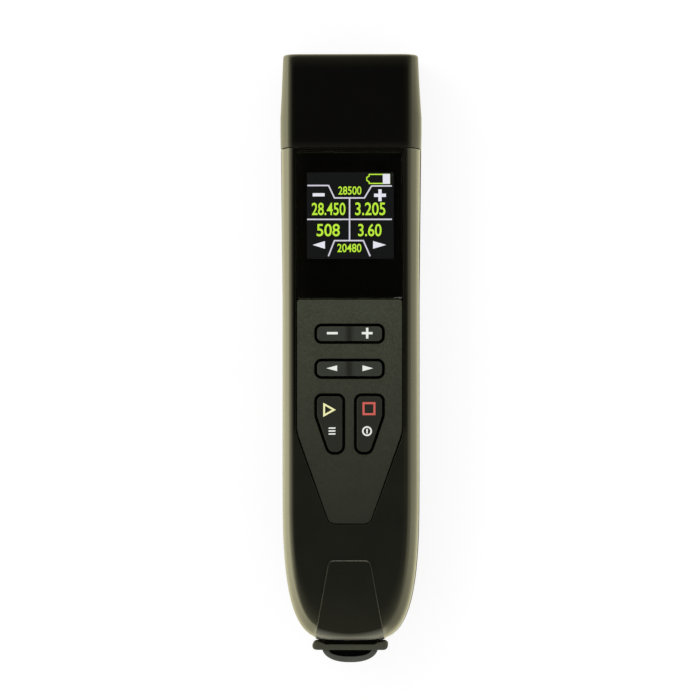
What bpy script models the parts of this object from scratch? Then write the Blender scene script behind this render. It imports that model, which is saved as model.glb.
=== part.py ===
"""A handheld antenna analyser, lying on its back, built piece by piece at its real size.

Units are metres. +X is to the right of the display, +Y runs towards the aerial connector and
+Z points out of the display. The origin is under the middle of the object, on the plane that
its back lies on.
"""

import math

import bmesh
import bpy
from mathutils import Matrix, Vector

MM = 0.001
GAP = 0.3 * MM  # clearance between pieces that meet
OVER = 1.0 * MM  # how far a cut runs past the surface that it opens

# Case, along Y
CAP_LENGTH = 29.1 * MM
TAB_REACH = 5.7 * MM  # port cover, past the end of the case
FLARE_LENGTH = 45.0 * MM  # seam to where the flare of the head ends
END_LENGTH = 49.0 * MM  # curved end of the case
END_WIDTH_POWER = 4.3  # how square the curved end is across
END_LENGTH_POWER = 2.95  # and along
END_SOFTEN = 0.5  # how much more the side leans in round the end, as a share
FACE_FALL = 3.2 * MM  # how far the front face drops at the end
FACE_FALL_LENGTH = 30.0 * MM
BACK_RISE = 7.0 * MM  # how far the back sweeps up at the end
BACK_RISE_LENGTH = 23.0 * MM

# Case, across X and Z
BODY_WIDTH = 42.0 * MM
HEAD_FLARE = 0.5 * MM  # how much wider the head is than the body, each side
PARTING_Z = 18.0 * MM
RIM_PROUD = 0.2 * MM  # rear shell, past the front shell all round
SIDE_WALL = 2.0 * MM
FACE_WALL = 4.0 * MM  # under the window and the panel, pocket and all
END_FACE_WALL = 2.2 * MM  # past the panel
END_ROOM_FOOT = 8.0 * MM  # where the extra height past the panel starts, over the parting plane
BACK_WALL = 3.2 * MM
SHOULDER_WALL = 1.8 * MM
SIDE_ARC = 36.0 * MM  # radius of the bowed side, over its upright part
SIDE_LEAN = math.radians(20)  # how far the bowed side leans in at its top
FACE_EDGE = 3.0 * MM  # rounding of the face's edge
BACK_EDGE_IN = 5.2 * MM  # rounding between side and back, across
BACK_EDGE_HIGH = 7.5 * MM
BACK_DRAFT = 0.25 * MM
LIP_WALL = 0.8 * MM  # lip of the front shell, inside the rear shell
LIP_HEIGHT = 1.2 * MM
SHELL_GAP = 0.2 * MM  # parting line between the shells

# Tongue raised on the lower end of the front face
TONGUE_LENGTH = 25.4 * MM
TONGUE_TOP_WIDTH = 12.4 * MM
TONGUE_END_WIDTH = 22.0 * MM
TONGUE_RISE = 0.45 * MM
TONGUE_CORNER = 1.8 * MM
TONGUE_LEAN = 0.36  # its wall's lean at the port, as a share of the case's
TONGUE_FOOT = 5.0 * MM  # its foot over the parting plane, where the side has begun to lean

# Cap, and the neck that it is pushed on to
NECK_HEIGHT = 6.0 * MM
NECK_WALL = 1.6 * MM
NECK_PLATE = 2.0 * MM
CAP_WALL = 1.9 * MM
CAP_END_WALL = 2.2 * MM
CAP_FIT = 0.35 * MM
CAP_BELLY = 0.12 * MM  # how far each side bows out over the seam
CAP_BELLY_UP = 6.0 * MM
CAP_TAPER_UP = 10.0 * MM  # seam to where the cap starts to narrow
CAP_END_IN = 1.05 * MM  # how much narrower the cap's end is, each side
CAP_TAPER_POWER = 0.9  # how late the taper sets in
CAP_EDGE = 0.9 * MM
CAP_END_LEAN = 0.9 * MM  # how far the cap's end leans back towards the face
CAP_TRAVEL_FIT = 0.25 * MM  # cap to shoulder, when it is on

# Display window and key panel, in one pocket of the front face
POCKET_DEPTH = 2.1 * MM
PLATE_DROP = 0.25 * MM  # window and panel below the face
PLATE_THICK = 1.55 * MM
PLATE_MARGIN = 5.1 * MM  # side of the body to the plates
PLATE_CORNER = 0.8 * MM
SEAM_TO_WINDOW = 1.3 * MM
WINDOW_LENGTH = 44.3 * MM
PANEL_LENGTH = 67.7 * MM
PANEL_TAPER_DOWN = 40.6 * MM  # panel's top edge to where it starts to narrow
PANEL_END_WIDTH = 12.2 * MM
PANEL_END_CORNER = 2.4 * MM
PANEL_SIDE_CORNER = 7.0 * MM

# Keys, placed from the panel's top edge
KEY_GAP = 0.7 * MM
KEY_PROUD = 0.65 * MM  # key tops above the panel
KEY_EDGE = 0.4 * MM
KEY_FLANGE = 0.9 * MM
KEY_FLANGE_REACH = 1.1 * MM
KEY_TRAVEL = 0.5 * MM
ROCKER_WIDTH = 19.8 * MM
ROCKER_HEIGHT = 4.6 * MM
ROCKER_CORNER = 2.0 * MM
ROCKER_EAR_WIDTH = 2.4 * MM
ZOOM_DOWN = 10.3 * MM
SEAT_ROOM = 1.2 * MM  # between the two rockers' seats
LONG_KEY_ROOM = 2.1 * MM  # rocker's seat to the long keys' openings
LONG_KEY_LENGTH = 17.0 * MM
LONG_KEY_WIDTH = 7.8 * MM
LONG_KEY_FOOT_WIDTH = 4.4 * MM
LONG_KEY_STRAIGHT = 6.0 * MM
LONG_KEY_SPREAD = 2.1 * MM  # centre line to each long key
LONG_KEY_CORNER = 1.3 * MM
LONG_KEY_FOOT_CORNER = 1.9 * MM
LONG_KEY_SIDE_CORNER = 3.0 * MM
LONG_KEY_STEM_DOWN = 6.6 * MM
STEM_RADIUS = 1.9 * MM
PILL_SPREAD = 5.4 * MM
PILL_RADIUS = 1.8 * MM
PILL_THICK = 0.5 * MM
MAT_THICK = 0.7 * MM
MAT_INSET = 0.5 * MM
MAT_TOP_MARGIN = 4.6 * MM
MAT_END_MARGIN = 18.0 * MM

# Display module
LCD_SIDE_MARGIN = 1.8 * MM  # window's edge to the display, at the sides
LCD_TOP_MARGIN = 3.9 * MM
LCD_END_MARGIN = 10.0 * MM
LCD_THICK = 2.2 * MM
LCD_BELOW_WINDOW = 0.35 * MM
LCD_FRAME_WALL = 0.8 * MM
FLEX_WIDTH = 14.0 * MM
FLEX_THICK = 0.35 * MM
FLEX_INSIDE = 4.0 * MM
FLEX_OUTSIDE = 5.0 * MM

# Boards
BOARD_THICK = 1.6 * MM
BOARD_DROP = 1.3 * MM  # under the case's ceiling
BOARD_INSET = 5.6 * MM
PROCESSOR_SIDE = 12.0 * MM
PROCESSOR_THICK = 1.4 * MM
PROCESSOR_DOWN = 47.5 * MM  # panel's top edge to the processor
PROCESSOR_ROOM = 2.9 * MM  # battery cradle to the processor over it
RF_BOARD_MARGIN = 9.2 * MM  # side of the body to the board
RF_BOARD_LENGTH = 44.5 * MM
RF_BOARD_DOWN = 6.2 * MM  # seam to the board's upper edge
RF_PIN_LIFT = 0.2 * MM  # connector pin over the radio board
SHIELD_MARGIN = 1.8 * MM  # board's edge to the can, at the sides
SHIELD_HEIGHT = 4.4 * MM
SHIELD_WALL = 0.5 * MM
SHIELD_DOWN = 9.4 * MM  # radio board's upper edge to the can
SHIELD_TO_HEADER = 4.9 * MM
HEADER_ROOM = 0.5 * MM  # screw head to the header
HEADER_LENGTH = 4.6 * MM
HEADER_MARGIN = 1.6 * MM  # from the radio board's lower edge
PILLAR_RADIUS = 2.5 * MM
PILLAR_IN = 2.7 * MM  # from the board's side
PILLAR_MARGIN = 3.9 * MM

# Battery: one 18650 cell, with its cradle and door
CELL_RADIUS = 9.2 * MM
CELL_LENGTH = 65.2 * MM
BOARD_TO_CRADLE = 4.9 * MM  # radio board to the cradle's end
BAY_TO_END = 23.8 * MM  # battery bay to the end of the case
CELL_LIFT = 0.5 * MM  # over the inside of the back
CELL_EDGE = 0.6 * MM
CELL_BUTTON_RADIUS = 2.9 * MM
CELL_BUTTON_HEIGHT = 1.0 * MM
CRADLE_WALL = 1.7 * MM
CRADLE_END = 1.4 * MM
CONTACT_THICK = 0.4 * MM
CONTACT_WIDTH = 9.0 * MM
CONTACT_HEIGHT = 8.0 * MM
LEAF_RISE = 1.2 * MM
BAY_ROOM = 1.0 * MM  # cell to the bay's opening, each side
DOOR_THICK = 1.6 * MM
DOOR_LEDGE = 2.2 * MM
DOOR_CORNER = 2.6 * MM
DOOR_SCREW_SPREAD = 7.5 * MM
HOOK_WIDTH = 4.0 * MM
HOOK_REACH = 1.4 * MM
HOOK_THICK = 1.2 * MM
HOOK_SPREAD = 6.5 * MM

# Screws
SCREW_RADIUS = 1.2 * MM
SCREW_FIT = 0.15 * MM
SCREW_HEAD_RADIUS = 2.1 * MM
SCREW_HEAD_HEIGHT = 1.6 * MM
SCREW_LENGTH = 11.0 * MM
SCREW_SEAT_DOWN = 7.0 * MM  # parting plane to the case screws' seats
SCREW_SLOT_DEPTH = 0.8 * MM
SCREW_SLOT_WIDTH = 0.7 * MM
SCREW_TIP_RADIUS = 0.5 * MM
SCREW_EDGE = 0.45 * MM  # of the head
BOSS_WALL = 1.2 * MM
HEAD_SCREW_DOWN = 8.0 * MM  # seam to the upper pair
HEAD_SCREW_IN = 5.7 * MM  # from the side of the case
END_SCREW_UP = 14.5 * MM  # end of the case to the lower pair
END_SCREW_IN = 9.5 * MM
BOARD_SCREW_LENGTH = 4.2 * MM
BOARD_SCREW_IN = 3.4 * MM  # from the side of the board
BOARD_SCREW_UP = 3.6 * MM  # above the panel's top edge
BOARD_SCREW_END = 27.0 * MM  # end of the case to the lower board screw
RF_SCREW_LENGTH = 5.0 * MM
DOOR_SCREW_LENGTH = 5.0 * MM
DOOR_HEAD_SEAT = 0.9 * MM  # how deep the door screws' heads sit in the door

# Aerial connector: N socket, turned about a line along Y at the parting height
THREAD_RADIUS = 7.94 * MM
THREAD_DEPTH = 0.6 * MM
THREAD_PITCH = 1.058 * MM
THREAD_TURNS = 9
SOCKET_BORE_RADIUS = 4.07 * MM
SOCKET_DEPTH = 9.0 * MM
FLANGE_RADIUS = 9.8 * MM
FLANGE_THICK = 2.6 * MM
TAIL_RADIUS = 5.4 * MM
TAIL_LENGTH = 4.6 * MM
MATE_LENGTH = 11.0 * MM  # thread above the nut
INSULATOR_RADIUS = 3.4 * MM
PIN_RADIUS = 0.8 * MM
PIN_TIP_RADIUS = 1.52 * MM
PIN_TIP_LENGTH = 4.4 * MM
PIN_BORE_RADIUS = 0.8 * MM
PIN_BORE_DEPTH = 3.4 * MM
PIN_TAIL = 4.6 * MM
WASHER_RADIUS = 10.2 * MM
WASHER_THICK = 0.6 * MM
NUT_ACROSS_FLATS = 19.0 * MM
NUT_THICK = 2.8 * MM

# USB socket and its rubber cover
USB_WIDTH = 8.94 * MM
USB_HEIGHT = 3.26 * MM
USB_LENGTH = 7.3 * MM
USB_WALL = 0.3 * MM
USB_TONGUE_WIDTH = 6.7 * MM
USB_TONGUE_THICK = 0.7 * MM
USB_TONGUE_BACK = 0.5 * MM  # tongue's tip behind the mouth
USB_BLOCK_LENGTH = 1.6 * MM
USB_BEHIND_PLUG = 0.5 * MM
PLUG_WIDTH = 16.8 * MM
PLUG_HEIGHT = 6.2 * MM
PLUG_CORNER = 2.2 * MM
PLUG_REACH = 1.5 * MM  # past the end of the case
PLUG_FIT = 0.4 * MM
PLUG_SWING_FIT = 0.5 * MM  # added over the plug, for its inner edge to swing out
COVER_WIDTH = 22.9 * MM
COVER_BAR = 1.4 * MM
COVER_EAR_RISE = 1.0 * MM
COVER_EAR_WIDTH = 2.6 * MM
COVER_EAR_CORNER = 1.2 * MM
COVER_CORNER = 1.6 * MM
COVER_FRONT_UP = 4.6 * MM  # middle of the port to the cover's front edge
COVER_OFF = 0.5 * MM  # gap from the end of the case
GRIP_WIDTH = 17.0 * MM
GRIP_THICK = 8.0 * MM
GRIP_DROP = 1.0 * MM  # under the cover's front edge
GRIP_WALL = 1.7 * MM
GRIP_POCKET_WIDTH = 12.8 * MM
GRIP_POCKET_DEPTH = 5.0 * MM
GRIP_SIDE_POWER = 0.85  # how square the tab is across, and towards its end
GRIP_END_POWER = 1.0
HINGE_OUT = 1.6 * MM  # hinge line from the end of the case
HINGE_UP = 0.9 * MM  # hinge line above the parting plane
HINGE_WEB = 0.8 * MM  # hinge line to the cover's lower edge
TETHER_WIDTH = 8.0 * MM
TETHER_THICK = 1.2 * MM
TETHER_DROP = 2.6 * MM  # tether's slot below the parting plane
TETHER_HEAD_WIDTH = 11.0 * MM
TETHER_HEAD_LENGTH = 1.4 * MM
TETHER_HEAD_HEIGHT = 3.4 * MM

# Sizes that follow from the sizes above
HEAD_WIDTH = BODY_WIDTH + 2 * HEAD_FLARE
CAP_END_WIDTH = HEAD_WIDTH - 2 * CAP_END_IN
PLATE_WIDTH = BODY_WIDTH - 2 * PLATE_MARGIN
LCD_WIDTH = PLATE_WIDTH - 2 * LCD_SIDE_MARGIN
LCD_LENGTH = WINDOW_LENGTH - LCD_TOP_MARGIN - LCD_END_MARGIN
RF_BOARD_WIDTH = BODY_WIDTH - 2 * RF_BOARD_MARGIN
SHIELD_WIDTH = RF_BOARD_WIDTH - 2 * SHIELD_MARGIN
PILLAR_SPREAD = RF_BOARD_WIDTH / 2 - PILLAR_IN
HEADER_WIDTH = 2 * (PILLAR_SPREAD - SCREW_HEAD_RADIUS - HEADER_ROOM)
SHIELD_LENGTH = RF_BOARD_LENGTH - SHIELD_DOWN - SHIELD_TO_HEADER - HEADER_LENGTH - HEADER_MARGIN
EAR_REACH = ROCKER_HEIGHT / 2 + KEY_GAP + KEY_FLANGE_REACH
SEAT_REACH = EAR_REACH + 2 * GAP
CURSOR_DOWN = ZOOM_DOWN + 2 * SEAT_REACH + SEAT_ROOM
LONG_KEY_DOWN = CURSOR_DOWN + SEAT_REACH + LONG_KEY_ROOM + KEY_FLANGE_REACH + GAP  # to their top edge
BAY_WIDTH = 2 * (CELL_RADIUS + BAY_ROOM)
PLUS_ROOM = CELL_BUTTON_HEIGHT + CONTACT_THICK + 2 * GAP
MINUS_ROOM = LEAF_RISE + CONTACT_THICK + 2 * GAP
BAY_LENGTH = PLUS_ROOM + CELL_LENGTH + MINUS_ROOM
BODY_LENGTH = RF_BOARD_DOWN + RF_BOARD_LENGTH + BOARD_TO_CRADLE + CRADLE_END + BAY_LENGTH + BAY_TO_END

# Places that follow from the sizes, and the face, which clears what the case holds
CELL_Z = BACK_WALL + CELL_LIFT + CELL_RADIUS
CRADLE_TOP_Z = CELL_Z + CELL_RADIUS + GAP + CRADLE_WALL
BOARD_LOW_Z = CRADLE_TOP_Z + PROCESSOR_ROOM + PROCESSOR_THICK + GAP
BOARD_TOP_Z = BOARD_LOW_Z + BOARD_THICK
FACE_Z = BOARD_TOP_Z + BOARD_DROP + FACE_WALL
TOP_Y = (CAP_LENGTH + BODY_LENGTH + TAB_REACH) / 2
SEAM_Y = TOP_Y - CAP_LENGTH
END_Y = SEAM_Y - BODY_LENGTH
END_START_Y = END_Y + END_LENGTH
FLARE_Y = SEAM_Y - FLARE_LENGTH
END_CUT = 3 * SIDE_WALL  # how deep the openings of the curved end are cut
NECK_IN = CAP_WALL + CAP_FIT
NECK_TOP_Y = SEAM_Y + NECK_HEIGHT
PLATE_LOW_Y = NECK_TOP_Y - NECK_PLATE
WINDOW_TOP_Y = SEAM_Y - SEAM_TO_WINDOW
PANEL_TOP_Y = WINDOW_TOP_Y - WINDOW_LENGTH - GAP
PANEL_END_Y = PANEL_TOP_Y - PANEL_LENGTH
POCKET_Z = FACE_Z - POCKET_DEPTH
PLATE_TOP_Z = FACE_Z - PLATE_DROP
PLATE_LOW_Z = PLATE_TOP_Z - PLATE_THICK
CEILING_Z = FACE_Z - FACE_WALL
END_CEILING_Z = FACE_Z - END_FACE_WALL
KEY_TOP_Z = PLATE_TOP_Z + KEY_PROUD
FLANGE_TOP_Z = PLATE_LOW_Z - GAP
FLANGE_LOW_Z = FLANGE_TOP_Z - KEY_FLANGE
PILL_LOW_Z = BOARD_TOP_Z + KEY_TRAVEL + GAP
STEM_LOW_Z = PILL_LOW_Z + PILL_THICK + GAP
MAT_LOW_Z = BOARD_TOP_Z + GAP
RF_BOARD_TOP_Z = PARTING_Z - PIN_RADIUS - RF_PIN_LIFT
RF_BOARD_LOW_Z = RF_BOARD_TOP_Z - BOARD_THICK
RF_BOARD_TOP_Y = SEAM_Y - RF_BOARD_DOWN
RF_BOARD_END_Y = RF_BOARD_TOP_Y - RF_BOARD_LENGTH
LCD_Y = WINDOW_TOP_Y - LCD_TOP_MARGIN - LCD_LENGTH / 2
LCD_TOP_Z = PLATE_LOW_Z - LCD_BELOW_WINDOW
LCD_LOW_Z = LCD_TOP_Z - LCD_THICK
BAY_TOP_Y = RF_BOARD_END_Y - BOARD_TO_CRADLE - CRADLE_END
BAY_END_Y = BAY_TOP_Y - BAY_LENGTH
CELL_TOP_Y = BAY_TOP_Y - PLUS_ROOM
CELL_END_Y = CELL_TOP_Y - CELL_LENGTH
PROCESSOR_Y = PANEL_TOP_Y - PROCESSOR_DOWN
SCREW_SEAT_Z = PARTING_Z - SCREW_SEAT_DOWN
DOOR_SCREW_Y = BAY_TOP_Y + CRADLE_END + GAP + SCREW_RADIUS + BOSS_WALL
DOOR_TOP_Y = DOOR_SCREW_Y + SCREW_HEAD_RADIUS + BOSS_WALL
DOOR_END_Y = BAY_END_Y - DOOR_LEDGE
FLANGE_TOP_Y = PLATE_LOW_Y - GAP
TAIL_END_Y = FLANGE_TOP_Y - FLANGE_THICK - TAIL_LENGTH
NUT_LOW_Y = NECK_TOP_Y + 2 * GAP + WASHER_THICK
CONNECTOR_TOP_Y = NUT_LOW_Y + NUT_THICK + MATE_LENGTH
SOCKET_END_Y = CONNECTOR_TOP_Y - SOCKET_DEPTH
PORT_Z = BOARD_LOW_Z - GAP - USB_HEIGHT / 2
PLUG_END_Y = END_Y + PLUG_REACH
HINGE_Y = END_Y - HINGE_OUT
HINGE_Z = PARTING_Z + HINGE_UP
COVER_REAR_Z = HINGE_Z + HINGE_WEB
COVER_FRONT_Z = PORT_Z + COVER_FRONT_UP
GRIP_FRONT_Z = COVER_FRONT_Z - GRIP_DROP
GRIP_REAR_Z = GRIP_FRONT_Z - GRIP_THICK

END_STEPS = 36  # points round the curved end
BACK_STEPS = 5
SIDE_STEPS = 3
EDGE_STEPS = 6
ARC_STEPS = 4  # of a corner in an outline
TURN_SIDES = 24
SMALL_SIDES = 12
PIN_SIDES = 16
GRIP_STEPS = 12
SMOOTH_ANGLE = math.radians(35)

GRAPHITE = ("graphite_plastic", (0.012, 0.012, 0.010), 0.42, 0.0)
CAP_BLACK = ("cap_plastic", (0.008, 0.008, 0.007), 0.40, 0.0)
PANEL_GREY = ("panel_plastic", (0.040, 0.043, 0.030), 0.75, 0.0)
CLEAR = ("window_acrylic", (0.004, 0.004, 0.004), 0.06, 0.0)
KEY_GREY = ("key_rubber", (0.030, 0.032, 0.026), 0.70, 0.0)
CARBON = ("carbon_pill", (0.010, 0.010, 0.010), 0.80, 0.0)
MAT_GREY = ("keypad_silicone", (0.25, 0.26, 0.25), 0.65, 0.0)
BOARD_GREEN = ("circuit_board", (0.015, 0.10, 0.04), 0.45, 0.0)
CHIP_BLACK = ("chip_epoxy", (0.015, 0.015, 0.015), 0.50, 0.0)
LCD_GLASS = ("display_glass", (0.01, 0.01, 0.012), 0.10, 0.0)
STEEL = ("bright_steel", (0.55, 0.56, 0.57), 0.30, 1.0)
FLEX_AMBER = ("flex_film", (0.45, 0.20, 0.03), 0.35, 0.0)
HEADER_BLACK = ("header_nylon", (0.02, 0.02, 0.02), 0.55, 0.0)
CELL_BLUE = ("cell_sleeve", (0.02, 0.08, 0.28), 0.35, 0.0)
CRADLE_BLACK = ("cradle_plastic", (0.02, 0.02, 0.02), 0.60, 0.0)
CONTACT_NICKEL = ("contact_nickel", (0.60, 0.57, 0.50), 0.30, 1.0)
SCREW_STEEL = ("screw_steel", (0.09, 0.09, 0.10), 0.35, 1.0)
CONNECTOR_NICKEL = ("connector_nickel", (0.63, 0.61, 0.56), 0.25, 1.0)
WHITE_PTFE = ("insulator_ptfe", (0.85, 0.85, 0.82), 0.45, 0.0)
PIN_GOLD = ("pin_gold", (0.80, 0.56, 0.18), 0.25, 1.0)
COVER_RUBBER = ("cover_rubber", (0.050, 0.050, 0.036), 0.75, 0.0)


def clear_scene():
    """Removes every object that the file opened with."""
    for thing in list(bpy.data.objects):
        bpy.data.objects.remove(thing, do_unlink=True)


def material(finish):
    """The Principled material of a finish, made on its first use."""
    name, colour, roughness, metallic = finish
    made = bpy.data.materials.get(name)
    if made:
        return made
    made = bpy.data.materials.new(name)
    made.use_nodes = True
    shader = made.node_tree.nodes["Principled BSDF"]
    shader.inputs["Base Color"].default_value = (*colour, 1.0)
    shader.inputs["Roughness"].default_value = roughness
    shader.inputs["Metallic"].default_value = metallic
    return made


def piece(name, mesh, finish, carrier=None):
    """One solid as an object, carried by an empty on its joint if it moves."""
    mesh.materials.clear()
    mesh.materials.append(material(finish))
    mesh.shade_smooth()
    mesh.set_sharp_from_angle(angle=SMOOTH_ANGLE)
    made = bpy.data.objects.new(name, mesh)
    bpy.context.scene.collection.objects.link(made)
    if carrier:
        mesh.transform(Matrix.Translation(-carrier.location))
        made.parent = carrier
    return made


def joint(name, point):
    """An empty on a joint's axis, which carries the pieces that move together."""
    made = bpy.data.objects.new(name, None)
    made.empty_display_size = 4 * MM
    made.location = point
    bpy.context.scene.collection.objects.link(made)
    return made


def closed(points, faces):
    """A mesh of these points and faces, with every face turned outwards."""
    mesh = bpy.data.meshes.new("shape")
    mesh.from_pydata(points, [], faces)
    form = bmesh.new()
    form.from_mesh(mesh)
    bmesh.ops.recalc_face_normals(form, faces=form.faces)
    form.to_mesh(mesh)
    form.free()
    return mesh


def loft(rings, mirrored_caps=False):
    """A solid through rings of equally many points.

    Mirrored caps join each point to the one across the ring, which keeps a bent end smooth.
    """
    count = len(rings[0])
    last = (len(rings) - 1) * count
    points = [point for ring in rings for point in ring]
    faces = []
    for base in range(0, last, count):
        for i in range(count):
            after = (i + 1) % count
            faces.append((base + i, base + after, base + count + after, base + count + i))
    for base in (0, last):
        if mirrored_caps:
            for i in range(count // 2 - 1):
                faces.append((base + i, base + i + 1, base + count - 2 - i, base + count - 1 - i))
            if count % 2:
                middle = base + count // 2
                faces.append((middle - 1, middle, middle + 1))
        else:
            faces.append(tuple(range(base, base + count)))
    return closed(points, faces)


def prism(outline, low, high):
    """An outline in XY, given thickness along Z."""
    return loft([[(x, y, z) for x, y in outline] for z in (low, high)])


def prism_along_y(outline, low, high):
    """An outline in XZ, given thickness along Y."""
    return loft([[(x, y, z) for x, z in outline] for y in (low, high)])


def prism_along_x(outline, low, high):
    """An outline in YZ, given thickness along X."""
    return loft([[(x, y, z) for y, z in outline] for x in (low, high)])


def box(x_low, x_high, y_low, y_high, z_low, z_high):
    """A block between two corners."""
    corners = [(x_low, y_low), (x_high, y_low), (x_high, y_high), (x_low, y_high)]
    return prism(corners, z_low, z_high)


def turned(profile, centre, along, sides=TURN_SIDES, bored=False):
    """A profile of (radius, place) turned about a line along Y or Z through the centre.

    A bored profile is a closed loop that stays clear of the line.
    """
    rings = []
    for radius, place in profile:
        ring = []
        for i in range(sides):
            angle = 2 * math.pi * i / sides
            across = radius * math.cos(angle)
            other = radius * math.sin(angle)
            if along == "Y":
                ring.append((centre[0] + across, place, centre[1] + other))
            else:
                ring.append((centre[0] + across, centre[1] + other, place))
        rings.append(ring)
    if not bored:
        return loft(rings)
    points = [point for ring in rings for point in ring]
    faces = []
    for row in range(len(rings)):
        base = row * sides
        up = (row + 1) % len(rings) * sides
        for i in range(sides):
            after = (i + 1) % sides
            faces.append((base + i, base + after, up + after, up + i))
    return closed(points, faces)


def pin(radius, centre, low, high, sides=SMALL_SIDES):
    """A round bar along Z."""
    return turned([(radius, low), (radius, high)], centre, "Z", sides)


def merged(meshes):
    """Several solids that stay clear of each other, as one mesh."""
    form = bmesh.new()
    for mesh in meshes:
        form.from_mesh(mesh)
    made = bpy.data.meshes.new("shape")
    form.to_mesh(made)
    form.free()
    return made


def combined(base, operation, other):
    """The mesh that a Boolean makes of two others."""
    first = bpy.data.objects.new("base", base)
    second = bpy.data.objects.new("tool", other)
    for thing in (first, second):
        bpy.context.scene.collection.objects.link(thing)
    modifier = first.modifiers.new("combine", "BOOLEAN")
    modifier.operation = operation
    modifier.object = second
    modifier.solver = "EXACT"
    bpy.context.view_layer.update()
    graph = bpy.context.evaluated_depsgraph_get()
    made = bpy.data.meshes.new_from_object(first.evaluated_get(graph))
    for thing in (first, second):
        bpy.data.objects.remove(thing, do_unlink=True)
    return made


def cut(base, *tools):
    """The base with each tool taken away."""
    for tool in tools:
        base = combined(base, "DIFFERENCE", tool)
    return base


def joined(base, *tools):
    """The base with each tool added."""
    for tool in tools:
        base = combined(base, "UNION", tool)
    return base


def outline(corners, grow=0.0, steps=ARC_STEPS):
    """A polygon of (x, y, corner radius), grown on every side and with its corners rounded.

    The corners run anticlockwise and every one of them is convex.
    """
    count = len(corners)
    lines = []
    for i in range(count):
        start = Vector(corners[i][:2])
        along = (Vector(corners[(i + 1) % count][:2]) - start).normalized()
        outwards = Vector((along.y, -along.x))
        lines.append((start + outwards * grow, along))
    points = []
    for i in range(count):
        before, into = lines[i - 1]
        here, away = lines[i]
        turn = into.x * away.y - into.y * away.x
        reach = here - before
        corner = before + into * ((reach.x * away.y - reach.y * away.x) / turn)
        radius = max(corners[i][2] + grow, 0.1 * MM)
        angle = math.acos(max(-1.0, min(1.0, into.dot(away))))
        centre = corner - into * radius * math.tan(angle / 2)
        centre = centre + Vector((-into.y, into.x)) * radius
        first = math.atan2(-into.x, into.y)
        for k in range(steps + 1):
            turned_to = first + angle * k / steps
            points.append((centre.x + radius * math.cos(turned_to), centre.y + radius * math.sin(turned_to)))
    return points


def rectangle(width, height, radius, centre=(0.0, 0.0)):
    """The corners of a rounded rectangle."""
    x, y = centre
    return [
        (x - width / 2, y - height / 2, radius),
        (x + width / 2, y - height / 2, radius),
        (x + width / 2, y + height / 2, radius),
        (x - width / 2, y + height / 2, radius),
    ]


def half_width(y):
    """Half the width of the case where it isn't rounded off."""
    flare = max(0.0, (y - FLARE_Y) / FLARE_LENGTH)
    return BODY_WIDTH / 2 + (HEAD_WIDTH - BODY_WIDTH) / 2 * flare


def leaned(half, z):
    """Half a width at a height: what it is over or under the body's fades out towards the face."""
    share = min(1.0, max(0.0, (z - PARTING_Z) / (FACE_Z - PARTING_Z)))
    return BODY_WIDTH / 2 + (half - BODY_WIDTH / 2) * (1 - share)


def levels(low, high):
    """Heights of the case's section from low to high, each with how far its side is drawn in.

    Over the parting plane the side stands upright, and then two arcs lean it in to the face.
    """
    arcs = [(SIDE_ARC, 0.0, SIDE_LEAN, SIDE_STEPS), (FACE_EDGE, SIDE_LEAN, math.pi / 2, EDGE_STEPS)]
    found = []
    for k in range(BACK_STEPS + 1):
        angle = math.pi / 2 * k / BACK_STEPS
        drawn_in = BACK_DRAFT + BACK_EDGE_IN * (1 - math.sin(angle))
        found.append((BACK_EDGE_HIGH * (1 - math.cos(angle)), drawn_in))
    found.append((PARTING_Z, 0.0))
    start_z = FACE_Z - sum(radius * (math.sin(end) - math.sin(start)) for radius, start, end, _ in arcs)
    start_in = 0.0
    found.append((start_z, start_in))
    for radius, start, end, steps in arcs:
        for k in range(1, steps + 1):
            angle = start + (end - start) * k / steps
            height = start_z + radius * (math.sin(angle) - math.sin(start))
            found.append((height, start_in + radius * (math.cos(start) - math.cos(angle))))
        start_z, start_in = found[-1]
    scaled = []
    for z, drawn_in in found:
        if z < PARTING_Z:
            z = PARTING_Z - (PARTING_Z - z) * (PARTING_Z - low) / PARTING_Z
        else:
            z = PARTING_Z + (z - PARTING_Z) * (high - PARTING_Z) / (FACE_Z - PARTING_Z)
        scaled.append((z, drawn_in))
    return scaled


def half_levels(low, high, upper, past):
    """The levels over or under the parting plane, with one more that lies past it if it is to cut."""
    side = 1 if upper else -1
    found = [level for level in levels(low, high) if side * (level[0] - PARTING_Z) >= 0]
    if past and upper:
        return [(PARTING_Z - past, 0.0)] + found
    if past:
        return found + [(PARTING_Z + past, 0.0)]
    return found


def settled(y, z):
    """The height of a point once the face has dropped and the back has risen towards the end."""
    if z > PARTING_Z:
        share = max(0.0, (END_Y + FACE_FALL_LENGTH - y) / FACE_FALL_LENGTH)
        return PARTING_Z + (z - PARTING_Z) * (1 - FACE_FALL / (FACE_Z - PARTING_Z) * share**2)
    share = max(0.0, (END_Y + BACK_RISE_LENGTH - y) / BACK_RISE_LENGTH)
    return PARTING_Z - (PARTING_Z - z) * (1 - BACK_RISE / PARTING_Z * share**2)


def case_ring(z, drawn_in, top_y, side=0.0):
    """The outline of the case at a height, drawn in all round but cut straight at the top.

    Its side leans in by more than that, and round the end over the parting plane by more again.
    """
    flat = [(leaned(half_width(y), z) - drawn_in - side, y) for y in (top_y, FLARE_Y)]
    soften = END_SOFTEN if z > PARTING_Z else 0.0
    curved = []
    for i in range(END_STEPS + 1):
        angle = math.pi * i / END_STEPS
        share = abs(math.cos(angle)) ** (2 / END_WIDTH_POWER)
        inwards = drawn_in + side * (1 + soften * math.sin(angle) ** 2)
        x = math.copysign((BODY_WIDTH / 2 - inwards) * share, -math.cos(angle))
        down = (END_LENGTH - inwards) * max(0.0, math.sin(angle)) ** (2 / END_LENGTH_POWER)
        curved.append((x, END_START_Y - down))
    points = [(-x, y) for x, y in flat] + curved + flat[::-1]
    return [(x, y, settled(y, z)) for x, y in points]


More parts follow.
